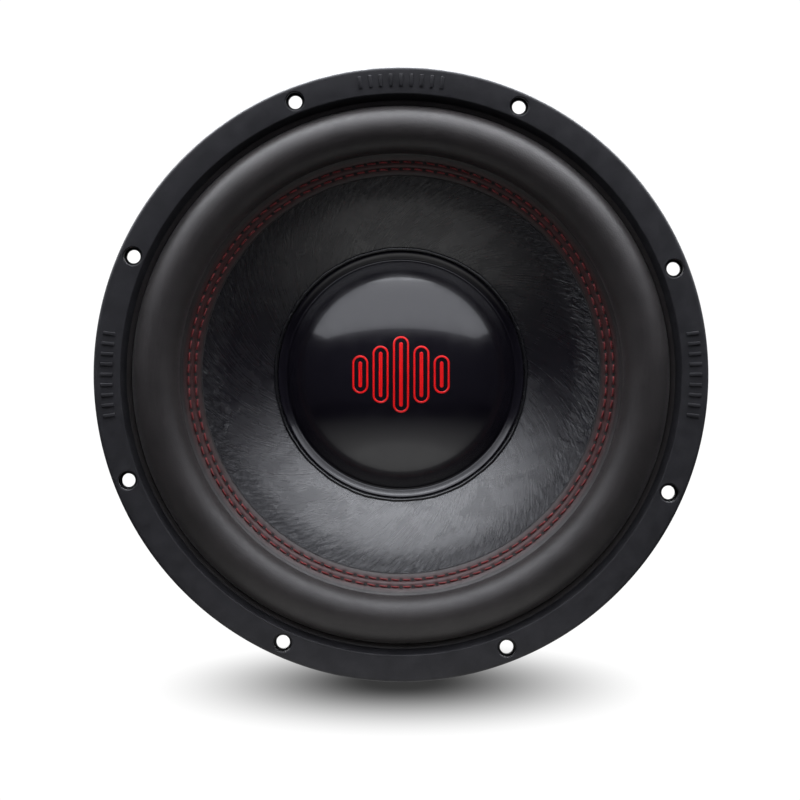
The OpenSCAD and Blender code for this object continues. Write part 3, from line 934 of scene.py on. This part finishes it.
# %% [markdown]
# ## The emblem
# Five equaliser bars are drawn on the dome as thin raised lines, each an outline with a
# core line inside it. A line is a low rounded ridge that follows the dome, so it is
# swept along its path with a soft cross-section.

# %% Draw the outlines on the dome
EMBLEM_LIFT = 0.42


def bar_outline(centre_x, width, height, steps=14):
    """Points round an upright bar with round ends, as (right, up) in mm."""
    half = width / 2
    straight = height / 2 - half
    points = []
    for k in range(steps + 1):
        turn = math.pi * k / steps
        points.append((centre_x + half * math.cos(turn), straight + half * math.sin(turn)))
    for k in range(steps + 1):
        turn = math.pi + math.pi * k / steps
        points.append((centre_x + half * math.cos(turn), -straight + half * math.sin(turn)))
    return points


def finer(points, step=1.5):
    """The closed outline with extra points along its straight runs."""
    out = []
    for a, b in zip(points, points[1:] + points[:1]):
        run = math.dist(a, b)
        if run < 1e-6:
            continue
        parts = max(1, round(run / step))
        out += [(a[0] + (b[0] - a[0]) * k / parts, a[1] + (b[1] - a[1]) * k / parts)
                for k in range(parts)]
    return out


def raised_line(name, outline, width):
    """A closed ridge of that width standing on the dome."""
    section = [(-0.5, 0.0), (-0.46, 0.6), (-0.3, 0.95), (0, 1.0),
               (0.3, 0.95), (0.46, 0.6), (0.5, 0.0)]
    count, ring = len(outline), len(section)
    points = []
    for i, (x, y) in enumerate(outline):
        before, after = outline[i - 1], outline[(i + 1) % count]
        along = Vector((after[0] - before[0], after[1] - before[1])).normalized()
        for across, height in section:
            px = x + along.y * across * width
            py = y - along.x * across * width
            radius = math.hypot(px, py)
            z = dome_z(radius) + EMBLEM_LIFT * height + 0.01
            points.append(Vector((px, -z, py)) * MM)
    return solid(name, points, closed_strip(count, ring, ring - 1), 70)


BAR_PITCH = 10.6
bar_lines = []
for i in range(-2, 3):
    height = 40 - 10 * abs(i)
    for wide, tall, line_w in ((7.3, height - 1.1, 1.1), (0.95, height - 7.4, 1.0)):
        bar = finer(bar_outline(i * BAR_PITCH, wide, tall))
        bar_lines.append(raised_line("line", bar, line_w))
cap_emblem = joined("cap_emblem", bar_lines)
fit(cap_emblem, RED, "emblem_red", "emblem", "moving_cone")
print("emblem lines:", len(bar_lines))

# %% [markdown]
# ## Voice coil, collar and neck glue
# The former is a foil tube that ties cone, spider and coils together. Each coil is a
# single layer of round wire, so its outline is a row of half circles. The glue at the
# cone's neck is a small concave fillet.

# %% Former and collar
FORMER_INNER_R = 38.0


def tube_profile(inner, outer, back, front, ease=0.08, steps=2):
    """The outline of a plain ring or tube with its four corners eased."""
    return rounded([(inner, back), (outer, back), (outer, front), (inner, front)],
                   ease, steps)


former_tube = revolve("former_tube",
                      tube_profile(FORMER_INNER_R, former.r, former.back, former.front), 160)
fit(former_tube, FOIL, "former", "voice_coil_former", "moving_cone")

collar = extent("former_collar")
collar_wrap = revolve("collar_wrap",
                      tube_profile(former.r + 0.01, collar.r, collar.back, collar.front), 160)
fit(collar_wrap, KRAFT, "collar", "former_collar", "moving_cone")

# %% Wind the two coils
WIRE_PITCH = 0.62


def winding(name, node, inner_r):
    part = extent(node)
    turns = int((part.front - part.back) / WIRE_PITCH)
    pitch = (part.front - part.back) / turns
    wire_r = part.r - inner_r
    outline = [(inner_r, part.front), (inner_r, part.back)]
    for k in range(turns):
        low = part.back + k * pitch
        outline += [(inner_r + wire_r * (0.45 + 0.55 * math.sin(math.pi * t)), low + pitch * t)
                    for t in (0.04, 0.2, 0.5, 0.8, 0.96)]
    coil = revolve(name, outline, 120, sharp=80)
    fit(coil, COPPER, "_".join(reversed(node.split("_"))), node, "moving_cone")
    return turns


first_turns = winding("coil_inner", "inner_winding", former.r + 0.01)
second_turns = winding("coil_outer", "outer_winding", former.r + 0.61)
print("turns wound:", first_turns, second_turns)

# %% Neck glue
neck_fillet = [(former.r + 0.02, cone_z(former.r) + 0.1)]
neck_fillet += [(former.r + 4 * t, cone_z(former.r + 4 * t) + 2.5 * (1 - t) ** 2.2 + 0.05)
                for t in np.linspace(0.01, 1, 10)]
neck_ring = revolve("neck_ring", neck_fillet, 160, sharp=80)
fit(neck_ring, GLUE, "glue", "neck_glue", "moving_cone")

# %% [markdown]
# ## The spider
# A disc of resin-dipped cloth pressed into round waves centres the coil. Its waves are
# sine curves with many points, so the cloth curves smoothly.

# %% Press the spider
SPIDER_T = 0.8
SPIDER_WAVE = 2.6
SPIDER_WAVES = 6
NECK_H = 4.0
spider_part = extent("spider")
LANDING_INNER_R = 82.0
LANDING_Z = -62.0
spider_mid = LANDING_Z + SPIDER_T / 2
spider_neck = former.r + SPIDER_T


def spider_side(offset):
    points = []
    for share in np.linspace(0, 1, 12 * SPIDER_WAVES + 1):
        radius = spider_neck + share * (LANDING_INNER_R - spider_neck)
        wave = SPIDER_WAVE * math.sin(2 * math.pi * SPIDER_WAVES * share)
        points.append((radius, spider_mid + wave + offset))
    return points


half_t = SPIDER_T / 2 - 0.02
spider_profile = (
    [(former.r + 0.02, LANDING_Z + NECK_H), (spider_neck, LANDING_Z + NECK_H)]
    + spider_side(half_t)
    + [(spider_part.r, spider_mid + half_t), (spider_part.r, spider_mid - half_t)]
    + spider_side(-half_t)[::-1]
    + [(spider_neck, LANDING_Z - NECK_H), (former.r + 0.02, LANDING_Z - NECK_H)]
)
cloth_spider = revolve("cloth_spider", spider_profile, 256, sharp=70)
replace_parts(paint(cloth_spider, CLOTH), "spider")
bend_by_radius(cloth_spider)

# %% [markdown]
# ## The basket
# The basket is one casting: a flange with a short wall that drops into the cut-out, a
# ledge for the spider, a foot ring on the motor and six spokes. A cast spoke is an
# I-beam, with a thin web between two edge ribs, because that is stiff and light.

# %% A flat cast plate standing in a plane through the axis
def radial_plate(name, outline, width, turn, ease=0.5):
    """outline is (radius, front) in mm; the plate is width thick and stands at turn."""
    work = bmesh.new()
    near = [work.verts.new(Vector((r, -z, -width / 2)) * MM) for r, z in outline]
    far = [work.verts.new(Vector((r, -z, width / 2)) * MM) for r, z in outline]
    work.faces.new(near)
    work.faces.new(far[::-1])
    for i in range(len(outline)):
        j = (i + 1) % len(outline)
        work.faces.new((near[j], near[i], far[i], far[j]))
    bmesh.ops.bevel(work, geom=work.edges[:], offset=ease * MM, segments=2, profile=0.5,
                    affect="EDGES", clamp_overlap=True)
    bmesh.ops.rotate(work, verts=work.verts, matrix=Matrix.Rotation(-turn, 3, "Y"))
    return finished(name, work)


# %% Cast the rings
CUTOUT_R = 139.5
WALL_INNER_R = 136.5
WALL_BACK = -16.0
LANDING_OUTER_R = 97.0
LANDING_T = 4.0
FOOT_R = 88.0
FOOT_INNER_R = 58.0
FOOT_T = 4.0
MOTOR_Z = -86.0

flange_profile = rounded([
    (WALL_INNER_R, WALL_BACK, 0.8), (CUTOUT_R, WALL_BACK, 0.8), (CUTOUT_R, 0, 1.2),
    (basket.r, 0, 1.0), (basket.r, flange_front - 0.02, 0.8),
    (WALL_INNER_R, flange_front - 0.02, 0.8),
], 0.6, 4)
flange_ring = revolve("flange_ring", flange_profile, 288)
cut(flange_ring, [drill(BOLT_CIRCLE_R, a, flange_front, 0, FLANGE_HOLE_R, 0.2)
                  for a in hole_angles])
landing_ring = revolve("landing_ring", tube_profile(
    LANDING_INNER_R, LANDING_OUTER_R, LANDING_Z - LANDING_T, LANDING_Z - 0.02, 0.7, 3), 224)
foot_ring = revolve("foot_ring", tube_profile(
    FOOT_INNER_R, FOOT_R, MOTOR_Z, MOTOR_Z + FOOT_T, 0.7, 3), 224)

# %% Cast the spokes
SPOKE_W = 16.0
WEB_W = 8.5
outer_edge = [(139.2, -6), (139.2, -16.3), (98.4, -65.8), (90, -81.8), (86.5, -85.9)]
inner_edge = [(78.3, -85.9), (79.2, -80), (84.2, -65.8), (84.2, -62.3), (94.2, -62.2),
              (127.2, -16), (137.4, -5.3)]


def strip_outline(line, thickness, side):
    """A narrow band along a line of points, on the side given by the sign."""
    left = []
    for i, (x, z) in enumerate(line):
        a, b = line[max(0, i - 1)], line[min(len(line) - 1, i + 1)]
        along = Vector((b[0] - a[0], b[1] - a[1])).normalized()
        left.append((x - side * along.y * thickness, z + side * along.x * thickness))
    return list(line) + left[::-1]


spokes = []
for k in range(6):
    turn = math.radians(60 * k)
    web = [(x - 0.4, z) for x, z in outer_edge] + inner_edge
    spokes.append(radial_plate("web", web, WEB_W, turn))
    spokes.append(radial_plate("outer_rib", strip_outline(outer_edge, 3.2, -1), SPOKE_W, turn, 0.9))
    spokes.append(radial_plate("inner_rib", strip_outline(inner_edge[3:], 2.8, -1),
                               SPOKE_W, turn, 0.9))

# %% Pads for the terminal blocks
housing_low, housing_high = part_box("terminal_housing_right")
PAD_X = housing_low.x / MM
PAD_T = 3.0
block_front, block_back = -housing_low.y / MM, -housing_high.y / MM
pads = []
for turn in (0, math.pi):
    pad = block("pad", (PAD_X - PAD_T, -22, block_back), (PAD_X - 0.03, 22, block_front), 0.6)
    pad.data.transform(Matrix.Rotation(-turn, 4, "Y"))
    pads.append(pad)

cast_basket = joined("cast_basket", [flange_ring, landing_ring, foot_ring, *spokes, *pads])
fit(cast_basket, COAT, "basket", "basket", "frame")
print("basket faces:", len(cast_basket.data.polygons), "pad at", round(PAD_X, 1))

# %% [markdown]
# ## The motor
# Two ferrite rings are clamped between turned steel plates, and the pole runs through
# them to the coil. A rubber boot covers the rings. All of it is turned on the same axis,
# so each part is one profile with real chamfers.

# %% Steel plates
PLATE_BORE_R = 40.6
POLE_R = 37.0
plate = extent("top_plate")
top_steel = revolve("top_steel", rounded([
    (PLATE_BORE_R, plate.back, 0.3), (plate.r, plate.back, 0.8),
    (plate.r, plate.front - 0.02, 1.0), (PLATE_BORE_R, plate.front - 0.02, 0.3)], 0.5, 3), 224)
fit(top_steel, PLATE, "plate_steel", "top_plate", "frame")

yoke = extent("yoke")
BACK_PLATE_Z = -138.0
VENT_R = 15.0
SCREEN_R = 17.5
yoke_steel = revolve("yoke_steel", rounded([
    (SCREEN_R + 0.02, yoke.back, 0.5), (yoke.r, yoke.back, 1.6),
    (yoke.r, BACK_PLATE_Z - 0.02, 0.6),
    (POLE_R, BACK_PLATE_Z - 0.02, 0.5), (POLE_R, MOTOR_Z + 1, 0.8),
    (POLE_R - 1, MOTOR_Z + 2, 0.8),
    (VENT_R + 5, MOTOR_Z + 2, 3), (VENT_R, MOTOR_Z - 8, 4), (VENT_R, yoke.back + 1.5, 0.1),
    (SCREEN_R + 0.02, yoke.back + 1.5, 0.1)], 0.5, 4), 224)
fit(yoke_steel, PLATE, "plate_steel", "yoke", "frame")

# %% Ferrite rings
MAGNET_BORE_R = 50.0
for name, node in (("ferrite_front", "magnet_front"), ("ferrite_rear", "magnet_rear")):
    part = extent(node)
    ring = revolve(name, tube_profile(MAGNET_BORE_R, part.r - 0.03, part.back + 0.01,
                                      part.front - 0.01, 0.9), 224)
    fit(ring, FERRITE, "ferrite", node, "frame")

# %% Shorting ring
SHORTING_BORE_R = 42.6
shorting = extent("shorting_ring")
short_ring = revolve("short_ring", tube_profile(
    SHORTING_BORE_R, shorting.r, shorting.back + 0.02, shorting.front, 0.5), 128)
fit(short_ring, ALUMINIUM, "ring_aluminium", "shorting_ring", "frame")

# %% Rubber boot with moulded bands
boot = extent("magnet_boot")
BAND_DEPTH = 0.9
BOOT_INNER_R = 95.02
BOOT_LIP_R = 88.05
band_centres = (-108.0, -114.0, -136.0, -142.0)
boot_wall = [(boot.r, boot.back, 2.2)]
for middle in sorted(band_centres):
    boot_wall += [(boot.r, middle - 1.6, 0.3), (boot.r - BAND_DEPTH, middle - 0.9, 0.3),
                  (boot.r - BAND_DEPTH, middle + 0.9, 0.3), (boot.r, middle + 1.6, 0.3)]
boot_wall += [(boot.r, boot.front, 1.6), (BOOT_INNER_R, boot.front, 0.4),
              (BOOT_INNER_R, BACK_PLATE_Z, 0.1), (BOOT_LIP_R, BACK_PLATE_Z, 0.1),
              (BOOT_LIP_R, boot.back, 0.8)]
rubber_boot = revolve("rubber_boot", rounded(boot_wall, 0.4, 3), 256)
fit(rubber_boot, BOOT, "boot_rubber", "magnet_boot", "frame")

# %% Vent screen
# The perforated disc is right as the frame has it, so it only gets its finish.
def refinish(node, finish):
    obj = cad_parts[node]
    for item in obj.material_slots:
        item.material = finish.material


refinish("vent_screen", SCREEN)
print("motor from", round(plate.front, 1), "to", round(yoke.back, 1), "mm")

# %% [markdown]
# ## Bolts
# Six hexagon bolts with washers hold the basket to the top plate. Each head is a hexagon
# with its corners chamfered by a turned cone, which is how real heads are made.

# %% Make six bolts
BOLT_RING_R = 72.0
HEAD_R = 5.0
HEAD_STEPS = 36
FLAT_SHARE = 0.866          # a hexagon's flats lie at this share of its corner radius


def hexagon_bolt(angle):
    head_low, head_high = MOTOR_Z + 4.9, MOTOR_Z + 8.0
    washer = revolve("washer", tube_profile(3.0, 4.9, MOTOR_Z + 4.02, head_low, 0.25), 40)
    rings = [(HEAD_R * 0.98, head_low), (HEAD_R, head_low + 0.2), (HEAD_R, head_high - 0.9),
             (HEAD_R * 0.9, head_high - 0.25), (HEAD_R * 0.8, head_high), (HEAD_R * 0.3, head_high)]
    points = []
    for r, z in rings:
        for k in range(HEAD_STEPS):
            a = 2 * math.pi * k / HEAD_STEPS
            reach = FLAT_SHARE / math.cos((a + math.pi / 6) % (math.pi / 3) - math.pi / 6)
            size = min(r, HEAD_R * reach * 0.985) if r > HEAD_R * 0.85 else r
            points.append(place(size, a, z))
    cap = solid("head", points, capped_tube(len(rings), HEAD_STEPS))
    shank = revolve("shank", [(0, MOTOR_Z - 8.4), (2.85, MOTOR_Z - 8), (2.85, MOTOR_Z + 4.9),
                              (0, MOTOR_Z + 4.9)], 24, closed=False)
    bolt = joined("bolt", [washer, cap, shank])
    bolt.data.transform(Matrix.Translation(place(BOLT_RING_R, angle, 0)))
    return bolt


motor_bolts = joined("hex_bolts", [hexagon_bolt(math.radians(30 + 60 * k)) for k in range(6)])
fit(motor_bolts, BOLT, "bolt_steel", "motor_bolts", "frame")

# %% [markdown]
# ## Terminal blocks
# Each block is a moulded housing with two sprung buttons. Pressing a button lifts its
# spring off the wire hole beside it. The housing is a block with its wells and holes cut
# out, so the buttons really slide in pockets.

# %% Sizes of a block
TERMINAL_Y = 12.0
BUTTON_Z = -46.0
PORT_Z = -58.0
PORT_R = 1.8
BUTTON_W, BUTTON_H = 9.0, 7.0
WELL_GAP = 0.3
RIVET_Y, RIVET_Z = 19.0, -52.0
face_x = housing_high.x / MM
SIDES = {"right": 0.0, "left": math.pi}
ENDS = ("upper", "lower")


def turned(obj, side):
    """Puts something made on the right-hand side where it belongs."""
    obj.data.transform(Matrix.Rotation(-SIDES[side], 4, "Y"))
    return obj


def along_x(name, start_x, end_x, up, front, radius, sides=28):
    path = [Vector((x, -front, up)) * MM for x in (start_x, end_x)]
    return tube(name, path, radius * MM, sides)


def sign_bar(up, front, width, height):
    return block("sign", (face_x - 0.3, up - width / 2, front - height / 2),
                 (face_x - 0.02 + 0.3, up + width / 2, front + height / 2), 0.1, 2)


# %% Mould the housings
def housing(side):
    body = block("housing", (PAD_X, -22, block_back), (face_x - 0.3, 22, block_front), 1.0, 4)
    cutters = []
    for y in (-TERMINAL_Y, TERMINAL_Y):
        cutters.append(block("well", (PAD_X + 2.5, y - BUTTON_W / 2 - WELL_GAP,
                                      BUTTON_Z - BUTTON_H / 2 - WELL_GAP),
                             (face_x + 5, y + BUTTON_W / 2 + WELL_GAP,
                              BUTTON_Z + BUTTON_H / 2 + WELL_GAP), 0))
        cutters.append(along_x("port", PAD_X + 1.3, face_x + 5, y, PORT_Z, PORT_R))
        cutters.append(along_x("funnel", face_x - 0.9, face_x + 5, y, PORT_Z, PORT_R + 0.7))
    cut(body, cutters)
    marks = [sign_bar(TERMINAL_Y, -52.3, 3.0, 0.8), sign_bar(TERMINAL_Y, -52.3, 0.8, 3.0),
             sign_bar(-TERMINAL_Y, -52.3, 3.0, 0.8)]
    if side == "left":
        for mark in marks:
            mark.data.transform(Matrix.Scale(-1, 4, (0, 0, 1)))
            mark.data.flip_normals()
    return turned(joined(f"housing_{side}", [body, *marks]), side)


for side in SIDES:
    shell = housing(side)
    fit(shell, HOUSING, "housing", f"terminal_housing_{side}", "frame")

# %% Mould the buttons
def button(side, end):
    node = f"push_button_{side}_{end}"
    low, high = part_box(node)
    low_r, high_r = min(abs(low.x), abs(high.x)) / MM, max(abs(low.x), abs(high.x)) / MM
    up = (low.z + high.z) / 2 / MM
    sign = 1 if side == "right" else -1
    body = block("body", (low_r, -BUTTON_W / 2, BUTTON_Z - BUTTON_H / 2),
                 (high_r - 0.5, BUTTON_W / 2, BUTTON_Z + BUTTON_H / 2), 0.7, 3)
    cut(body, [along_x("hollow", low_r - 1, low_r + 6, 0, BUTTON_Z, 2.7)])
    ridges = [block("ridge", (high_r - 1.0, -BUTTON_W / 2 + 1, BUTTON_Z + k * 1.7 - 0.4),
                    (high_r, BUTTON_W / 2 - 1, BUTTON_Z + k * 1.7 + 0.4), 0.3, 3)
              for k in (-1, 0, 1)]
    piece = joined(f"button_{side}_{end}_cap", [body, *ridges])
    piece.data.transform(Matrix.Translation(Vector((0, 0, sign * up)) * MM))
    turned(piece, side)
    red = end == "upper"
    fit(piece, BUTTON_RED if red else BUTTON_BLACK, "button_red" if red else "button_black",
        node, f"button_{side}_{end}")


for side in SIDES:
    for end in ENDS:
        button(side, end)

# %% Coil springs behind the buttons
SPRING_R, SPRING_WIRE_R, SPRING_TURNS = 1.9, 0.38, 6


def coil_spring(side, end):
    node = f"button_spring_{side}_{end}"
    low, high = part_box(node)
    near, far = sorted((abs(low.x), abs(high.x)))
    sign = 1 if side == "right" else -1
    steps = SPRING_TURNS * 20
    path = []
    for i in range(steps + 1):
        turn = 2 * math.pi * i / 20
        x = near + SPRING_WIRE_R * MM + (far - near - 2 * SPRING_WIRE_R * MM) * i / steps
        path.append(Vector((sign * x, -BUTTON_Z * MM + SPRING_R * MM * math.sin(turn),
                            (low.z + high.z) / 2 + SPRING_R * MM * math.cos(turn))))
    wire = tube(f"spring_{side}_{end}", path, SPRING_WIRE_R * MM, 8)
    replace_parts(paint(wire, SPRING), node)
    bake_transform(wire)


for side in SIDES:
    for end in ENDS:
        coil_spring(side, end)

# %% Rivets
def rivet(side, up):
    outer = [(0, face_x + 0.95), (1.0, face_x + 0.85), (1.8, face_x + 0.45),
             (2.2, face_x - 0.28), (1.5, face_x - 0.3)]
    inner = [(1.5, PAD_X - PAD_T), (2.4, PAD_X - PAD_T), (2.3, PAD_X - PAD_T - 0.7),
             (1.2, PAD_X - PAD_T - 0.98), (0, PAD_X - PAD_T - 1)]
    piece = revolve("rivet", outer + inner, 32, closed=False)
    piece.data.transform(Matrix.Rotation(math.radians(90), 4, "Z"))
    piece.data.transform(Matrix.Translation(Vector((0, -RIVET_Z, up)) * MM))
    return turned(piece, side)


rivets = joined("rivet_heads", [rivet(side, up) for side in SIDES for up in (-RIVET_Y, RIVET_Y)])
fit(rivets, RIVET, "rivet", "terminal_rivets", "frame")

# %% [markdown]
# ## Contacts, leads and solder
# A tinned strip runs inside each block and comes out in front as a lug. From there a
# braided lead loops to a tab on the former, with enough slack for the cone's travel.
# The braid is made of strands wound round the lead's middle line.

# %% Contact strips
for side in SIDES:
    for end in ENDS:
        node = f"contact_{side}_{end}"
        low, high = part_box(node)
        strip = block(f"strip_{side}_{end}", (low.x / MM, low.z / MM, -high.y / MM),
                      (high.x / MM, high.z / MM, -low.y / MM), 0.15, 2)
        fit(strip, BRASS, "contact_brass", node, "frame")

# %% The lead's route, the same as the frame's
LEAD_ROUTE = [(38.9, -52), (44, -52), (55, -54.5), (70, -54),
              (85, -46), (100, -37), (113, -35), (120.7, -36.6)]
STRANDS = 4
LEAD_STEPS = 160
LAY_TURNS = 13


def smooth_route(points, count):
    """Evenly spaced points on a smooth curve through the route."""
    out = []
    last = len(points) - 1
    for k in range(count + 1):
        t = last * k / count
        i = min(int(t), last - 1)
        f = t - i
        a, b, c, d = (Vector(points[min(last, max(0, i + n))]) for n in (-1, 0, 1, 2))
        out.append(0.5 * (2 * b + (c - a) * f + (2 * a - 5 * b + 4 * c - d) * f * f
                          + (3 * b - a - 3 * c + d) * f ** 3))
    return out


def blob(middle, size):
    """A drop of solder."""
    mesh = bpy.data.meshes.new("drop")
    work = bmesh.new()
    bmesh.ops.create_uvsphere(work, u_segments=16, v_segments=10, radius=1)
    for vertex in work.verts:
        wobble = 1 + 0.12 * math.sin(5 * vertex.co.x + 3 * vertex.co.z)
        vertex.co = middle + Vector(a * b for a, b in zip(vertex.co, size)) * wobble * MM
    work.to_mesh(mesh)
    work.free()
    return new_object("drop", mesh)


def braided_lead(side, end):
    up = TERMINAL_Y if end == "upper" else -TERMINAL_Y
    sign = 1 if side == "right" else -1
    line = [Vector((sign * p.x, -p.y, up)) * MM for p in smooth_route(LEAD_ROUTE, LEAD_STEPS)]
    strands = []
    for s in range(STRANDS):
        path = []
        for i, point in enumerate(line):
            along = (line[min(i + 1, LEAD_STEPS)] - line[max(i - 1, 0)]).normalized()
            up_way = Vector((0, 0, 1))
            across = along.cross(up_way)
            turn = 2 * math.pi * (s / STRANDS + i / LEAD_STEPS * LAY_TURNS)
            path.append(point + (across * math.cos(turn) + up_way * math.sin(turn)) * 0.44 * MM)
        strands.append(tube("strand", path, 0.43 * MM, 7))
    lead = joined(f"braid_{side}_{end}", strands)
    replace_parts(paint(lead, TINSEL), f"tinsel_lead_{side}_{end}")
    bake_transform(lead)
    for name, at, shift, size, body in (("lug_solder", line[-1], 0.2, (0.9, 1.5, 1.5), "frame"),
                                        ("tab_solder", line[0], 0.1, (1.0, 1.5, 1.4),
                                         "moving_cone")):
        drop = blob(at + Vector((-sign * shift, 0, 0)) * MM, size)
        drop.name = f"{name}_{side}_{end}"
        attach(paint(drop, SOLDER), body)


for side in SIDES:
    for end in ENDS:
        braided_lead(side, end)
refinish("lead_tabs", SOLDER)
print("leads made:", 2 * len(SIDES))

# %% [markdown]
# ## Studio
# The white floor and background are for the camera only. The floor glows white, and a
# painted shadow dims it in a soft ellipse round the driver; it is clear from below. Light
# comes from three soft boxes overhead, one behind and a weak world light.
# Glossy black shows almost nothing but reflections, so the boxes' places and sizes draw
# the bright crescent on the cap and the band along the top of the surround. A dim card
# on the floor draws the low glow on the cap.

# %% Glowing stage materials
FLOOR_Z = cad_low.z - 0.0005


def glow(name, centre, reach, inner, outer, start, stop, power, one_sided=False):
    """Light that changes from inner to outer along an ellipse on the floor; on the floor a
    dark inner value is a painted shadow. Reach is the ellipse's half width and half depth
    in metres. A one-sided glow can't be seen from behind, so the driver also shows from
    below the floor."""
    material = bpy.data.materials.new(name)
    material.use_nodes = True
    nodes, links = material.node_tree.nodes, material.node_tree.links
    nodes.remove(nodes["Principled BSDF"])
    light = nodes.new("ShaderNodeEmission")
    if one_sided:
        underside = nodes.new("ShaderNodeNewGeometry").outputs["Backfacing"]
        sides = nodes.new("ShaderNodeMixShader")
        links.new(underside, sides.inputs[0])
        links.new(light.outputs[0], sides.inputs[1])
        links.new(nodes.new("ShaderNodeBsdfTransparent").outputs[0], sides.inputs[2])
        links.new(sides.outputs[0], nodes["Material Output"].inputs["Surface"])
    else:
        links.new(light.outputs[0], nodes["Material Output"].inputs["Surface"])
    coordinates = nodes.new("ShaderNodeTexCoord")
    stretch = nodes.new("ShaderNodeMapping")
    stretch.vector_type = "TEXTURE"
    stretch.inputs["Location"].default_value = (*centre, 0)
    stretch.inputs["Scale"].default_value = (*reach, 1)
    links.new(coordinates.outputs["Object"], stretch.inputs[0])
    distance = nodes.new("ShaderNodeVectorMath")
    distance.operation = "LENGTH"
    links.new(stretch.outputs[0], distance.inputs[0])
    share = nodes.new("ShaderNodeMapRange")
    share.interpolation_type = "SMOOTHSTEP" if power == 1 else "LINEAR"
    share.inputs["From Min"].default_value = start
    share.inputs["From Max"].default_value = stop
    links.new(distance.outputs["Value"], share.inputs["Value"])
    curve = nodes.new("ShaderNodeMath")
    curve.operation = "POWER"
    curve.inputs[1].default_value = power
    links.new(share.outputs[0], curve.inputs[0])
    strength = nodes.new("ShaderNodeMapRange")
    strength.inputs["To Min"].default_value = inner
    strength.inputs["To Max"].default_value = outer
    links.new(curve.outputs[0], strength.inputs["Value"])
    links.new(strength.outputs[0], light.inputs["Strength"])
    return material


def stage_piece(name, build, height, material, seen_by_camera):
    """Adds something that belongs to the studio; build fills its mesh."""
    mesh = bpy.data.meshes.new(name)
    work = bmesh.new()
    build(work)
    work.to_mesh(mesh)
    work.free()
    mesh.materials.append(material)
    piece = bpy.data.objects.new(name, mesh)
    piece.location = (0, 0, height)
    scene.collection.objects.link(piece)
    piece.visible_camera = seen_by_camera
    piece.visible_glossy = not seen_by_camera
    piece.visible_diffuse = not seen_by_camera
    piece.visible_shadow = False


# %% Floor, background and card
# The floor glows white but dims to 0.04 in a soft ellipse round the driver's foot: a painted
# shadow. SHADOW_REACH is that ellipse's half width and half depth.
SHADOW_REACH = (0.122, 0.27)
CARD_REACH = (0.34, 0.26)

stage_piece("studio_floor",
            lambda work: bmesh.ops.create_circle(work, cap_ends=True, radius=9, segments=96),
            FLOOR_Z,
            glow("floor_white_painted_shadow", (0, 0), SHADOW_REACH, 0.04, 1.05, 0.12, 1.15, 1.0, True), True)
stage_piece("studio_background",
            lambda work: bmesh.ops.create_uvsphere(work, u_segments=48, v_segments=24, radius=12),
            0,
            glow("background_white", (0, 0), (1, 1), 1.05, 1.05, 0, 1, 1), True)
stage_piece("floor_card",
            lambda work: bmesh.ops.create_grid(work, x_segments=1, y_segments=1, size=0.45),
            FLOOR_Z + 0.0004,
            glow("card_glow", (0, -0.04), CARD_REACH, 0.9, 0.0, 0.3, 1.0, 0.5), False)

# %% World light
world = bpy.data.worlds.new("studio_world")
world.use_nodes = True
scene.world = world
world.node_tree.nodes["Background"].inputs["Color"].default_value = (0.96, 0.9, 1.18, 1)
world.node_tree.nodes["Background"].inputs["Strength"].default_value = 0.035


# %% Soft boxes
def soft_box(name, where, target, size, radiance, colour=(1, 1, 1)):
    """Radiance is the brightness of the box's face, so its power grows with its size."""
    data = bpy.data.lights.new(name, "AREA")
    data.shape = "RECTANGLE"
    data.size, data.size_y = size
    data.energy = radiance * math.pi * size[0] * size[1]
    data.color = colour
    light = bpy.data.objects.new(name, data)
    light.location = where
    light.rotation_mode = "QUATERNION"
    light.rotation_quaternion = (Vector(target) - Vector(where)).to_track_quat("-Z", "Y")
    light.visible_camera = False
    scene.collection.objects.link(light)


BOX_FRONT_Y, BOX_BACK_Y = -1.87, 0.6
BOX_MIDDLE_Y = (BOX_FRONT_Y + BOX_BACK_Y) / 2
soft_box("overhead_box", (0, BOX_MIDDLE_Y, 1.0), (0, BOX_MIDDLE_Y, 0),
         (4.2, BOX_BACK_Y - BOX_FRONT_Y), 2.45, (0.91, 0.93, 1))
soft_box("top_strip", (0, -0.28, 0.99), (0, -0.28, 0), (2.4, 0.56), 5.0, (0.93, 0.955, 1))
soft_box("top_rear_strip", (0, 0.7, 0.985), (0, 0.7, 0), (2.6, 1.4), 19, (0.94, 0.965, 1))
soft_box("rear_box", (0, 2.1, 0.85), (0, 0.1, 0), (3.4, 1.5), 2.6)

# %% [markdown]
# ## Camera
# The camera looks straight at the driver along its axis from 1.8 m, through a long lens.
# A small shift puts the driver a little above the middle of the picture.

# %% Set the camera
CAMERA_Y = -1.8
camera_data = bpy.data.cameras.new("camera")
camera_data.sensor_width = 36
camera_data.lens = 156.9
camera_data.shift_x, camera_data.shift_y = -0.00125, -0.031875
camera = bpy.data.objects.new("camera", camera_data)
camera.location = (0, CAMERA_Y, 0)
camera.rotation_euler = (math.radians(90), 0, 0)
scene.collection.objects.link(camera)
scene.camera = camera
scene.view_settings.view_transform = "Standard"
scene.view_settings.look = "None"
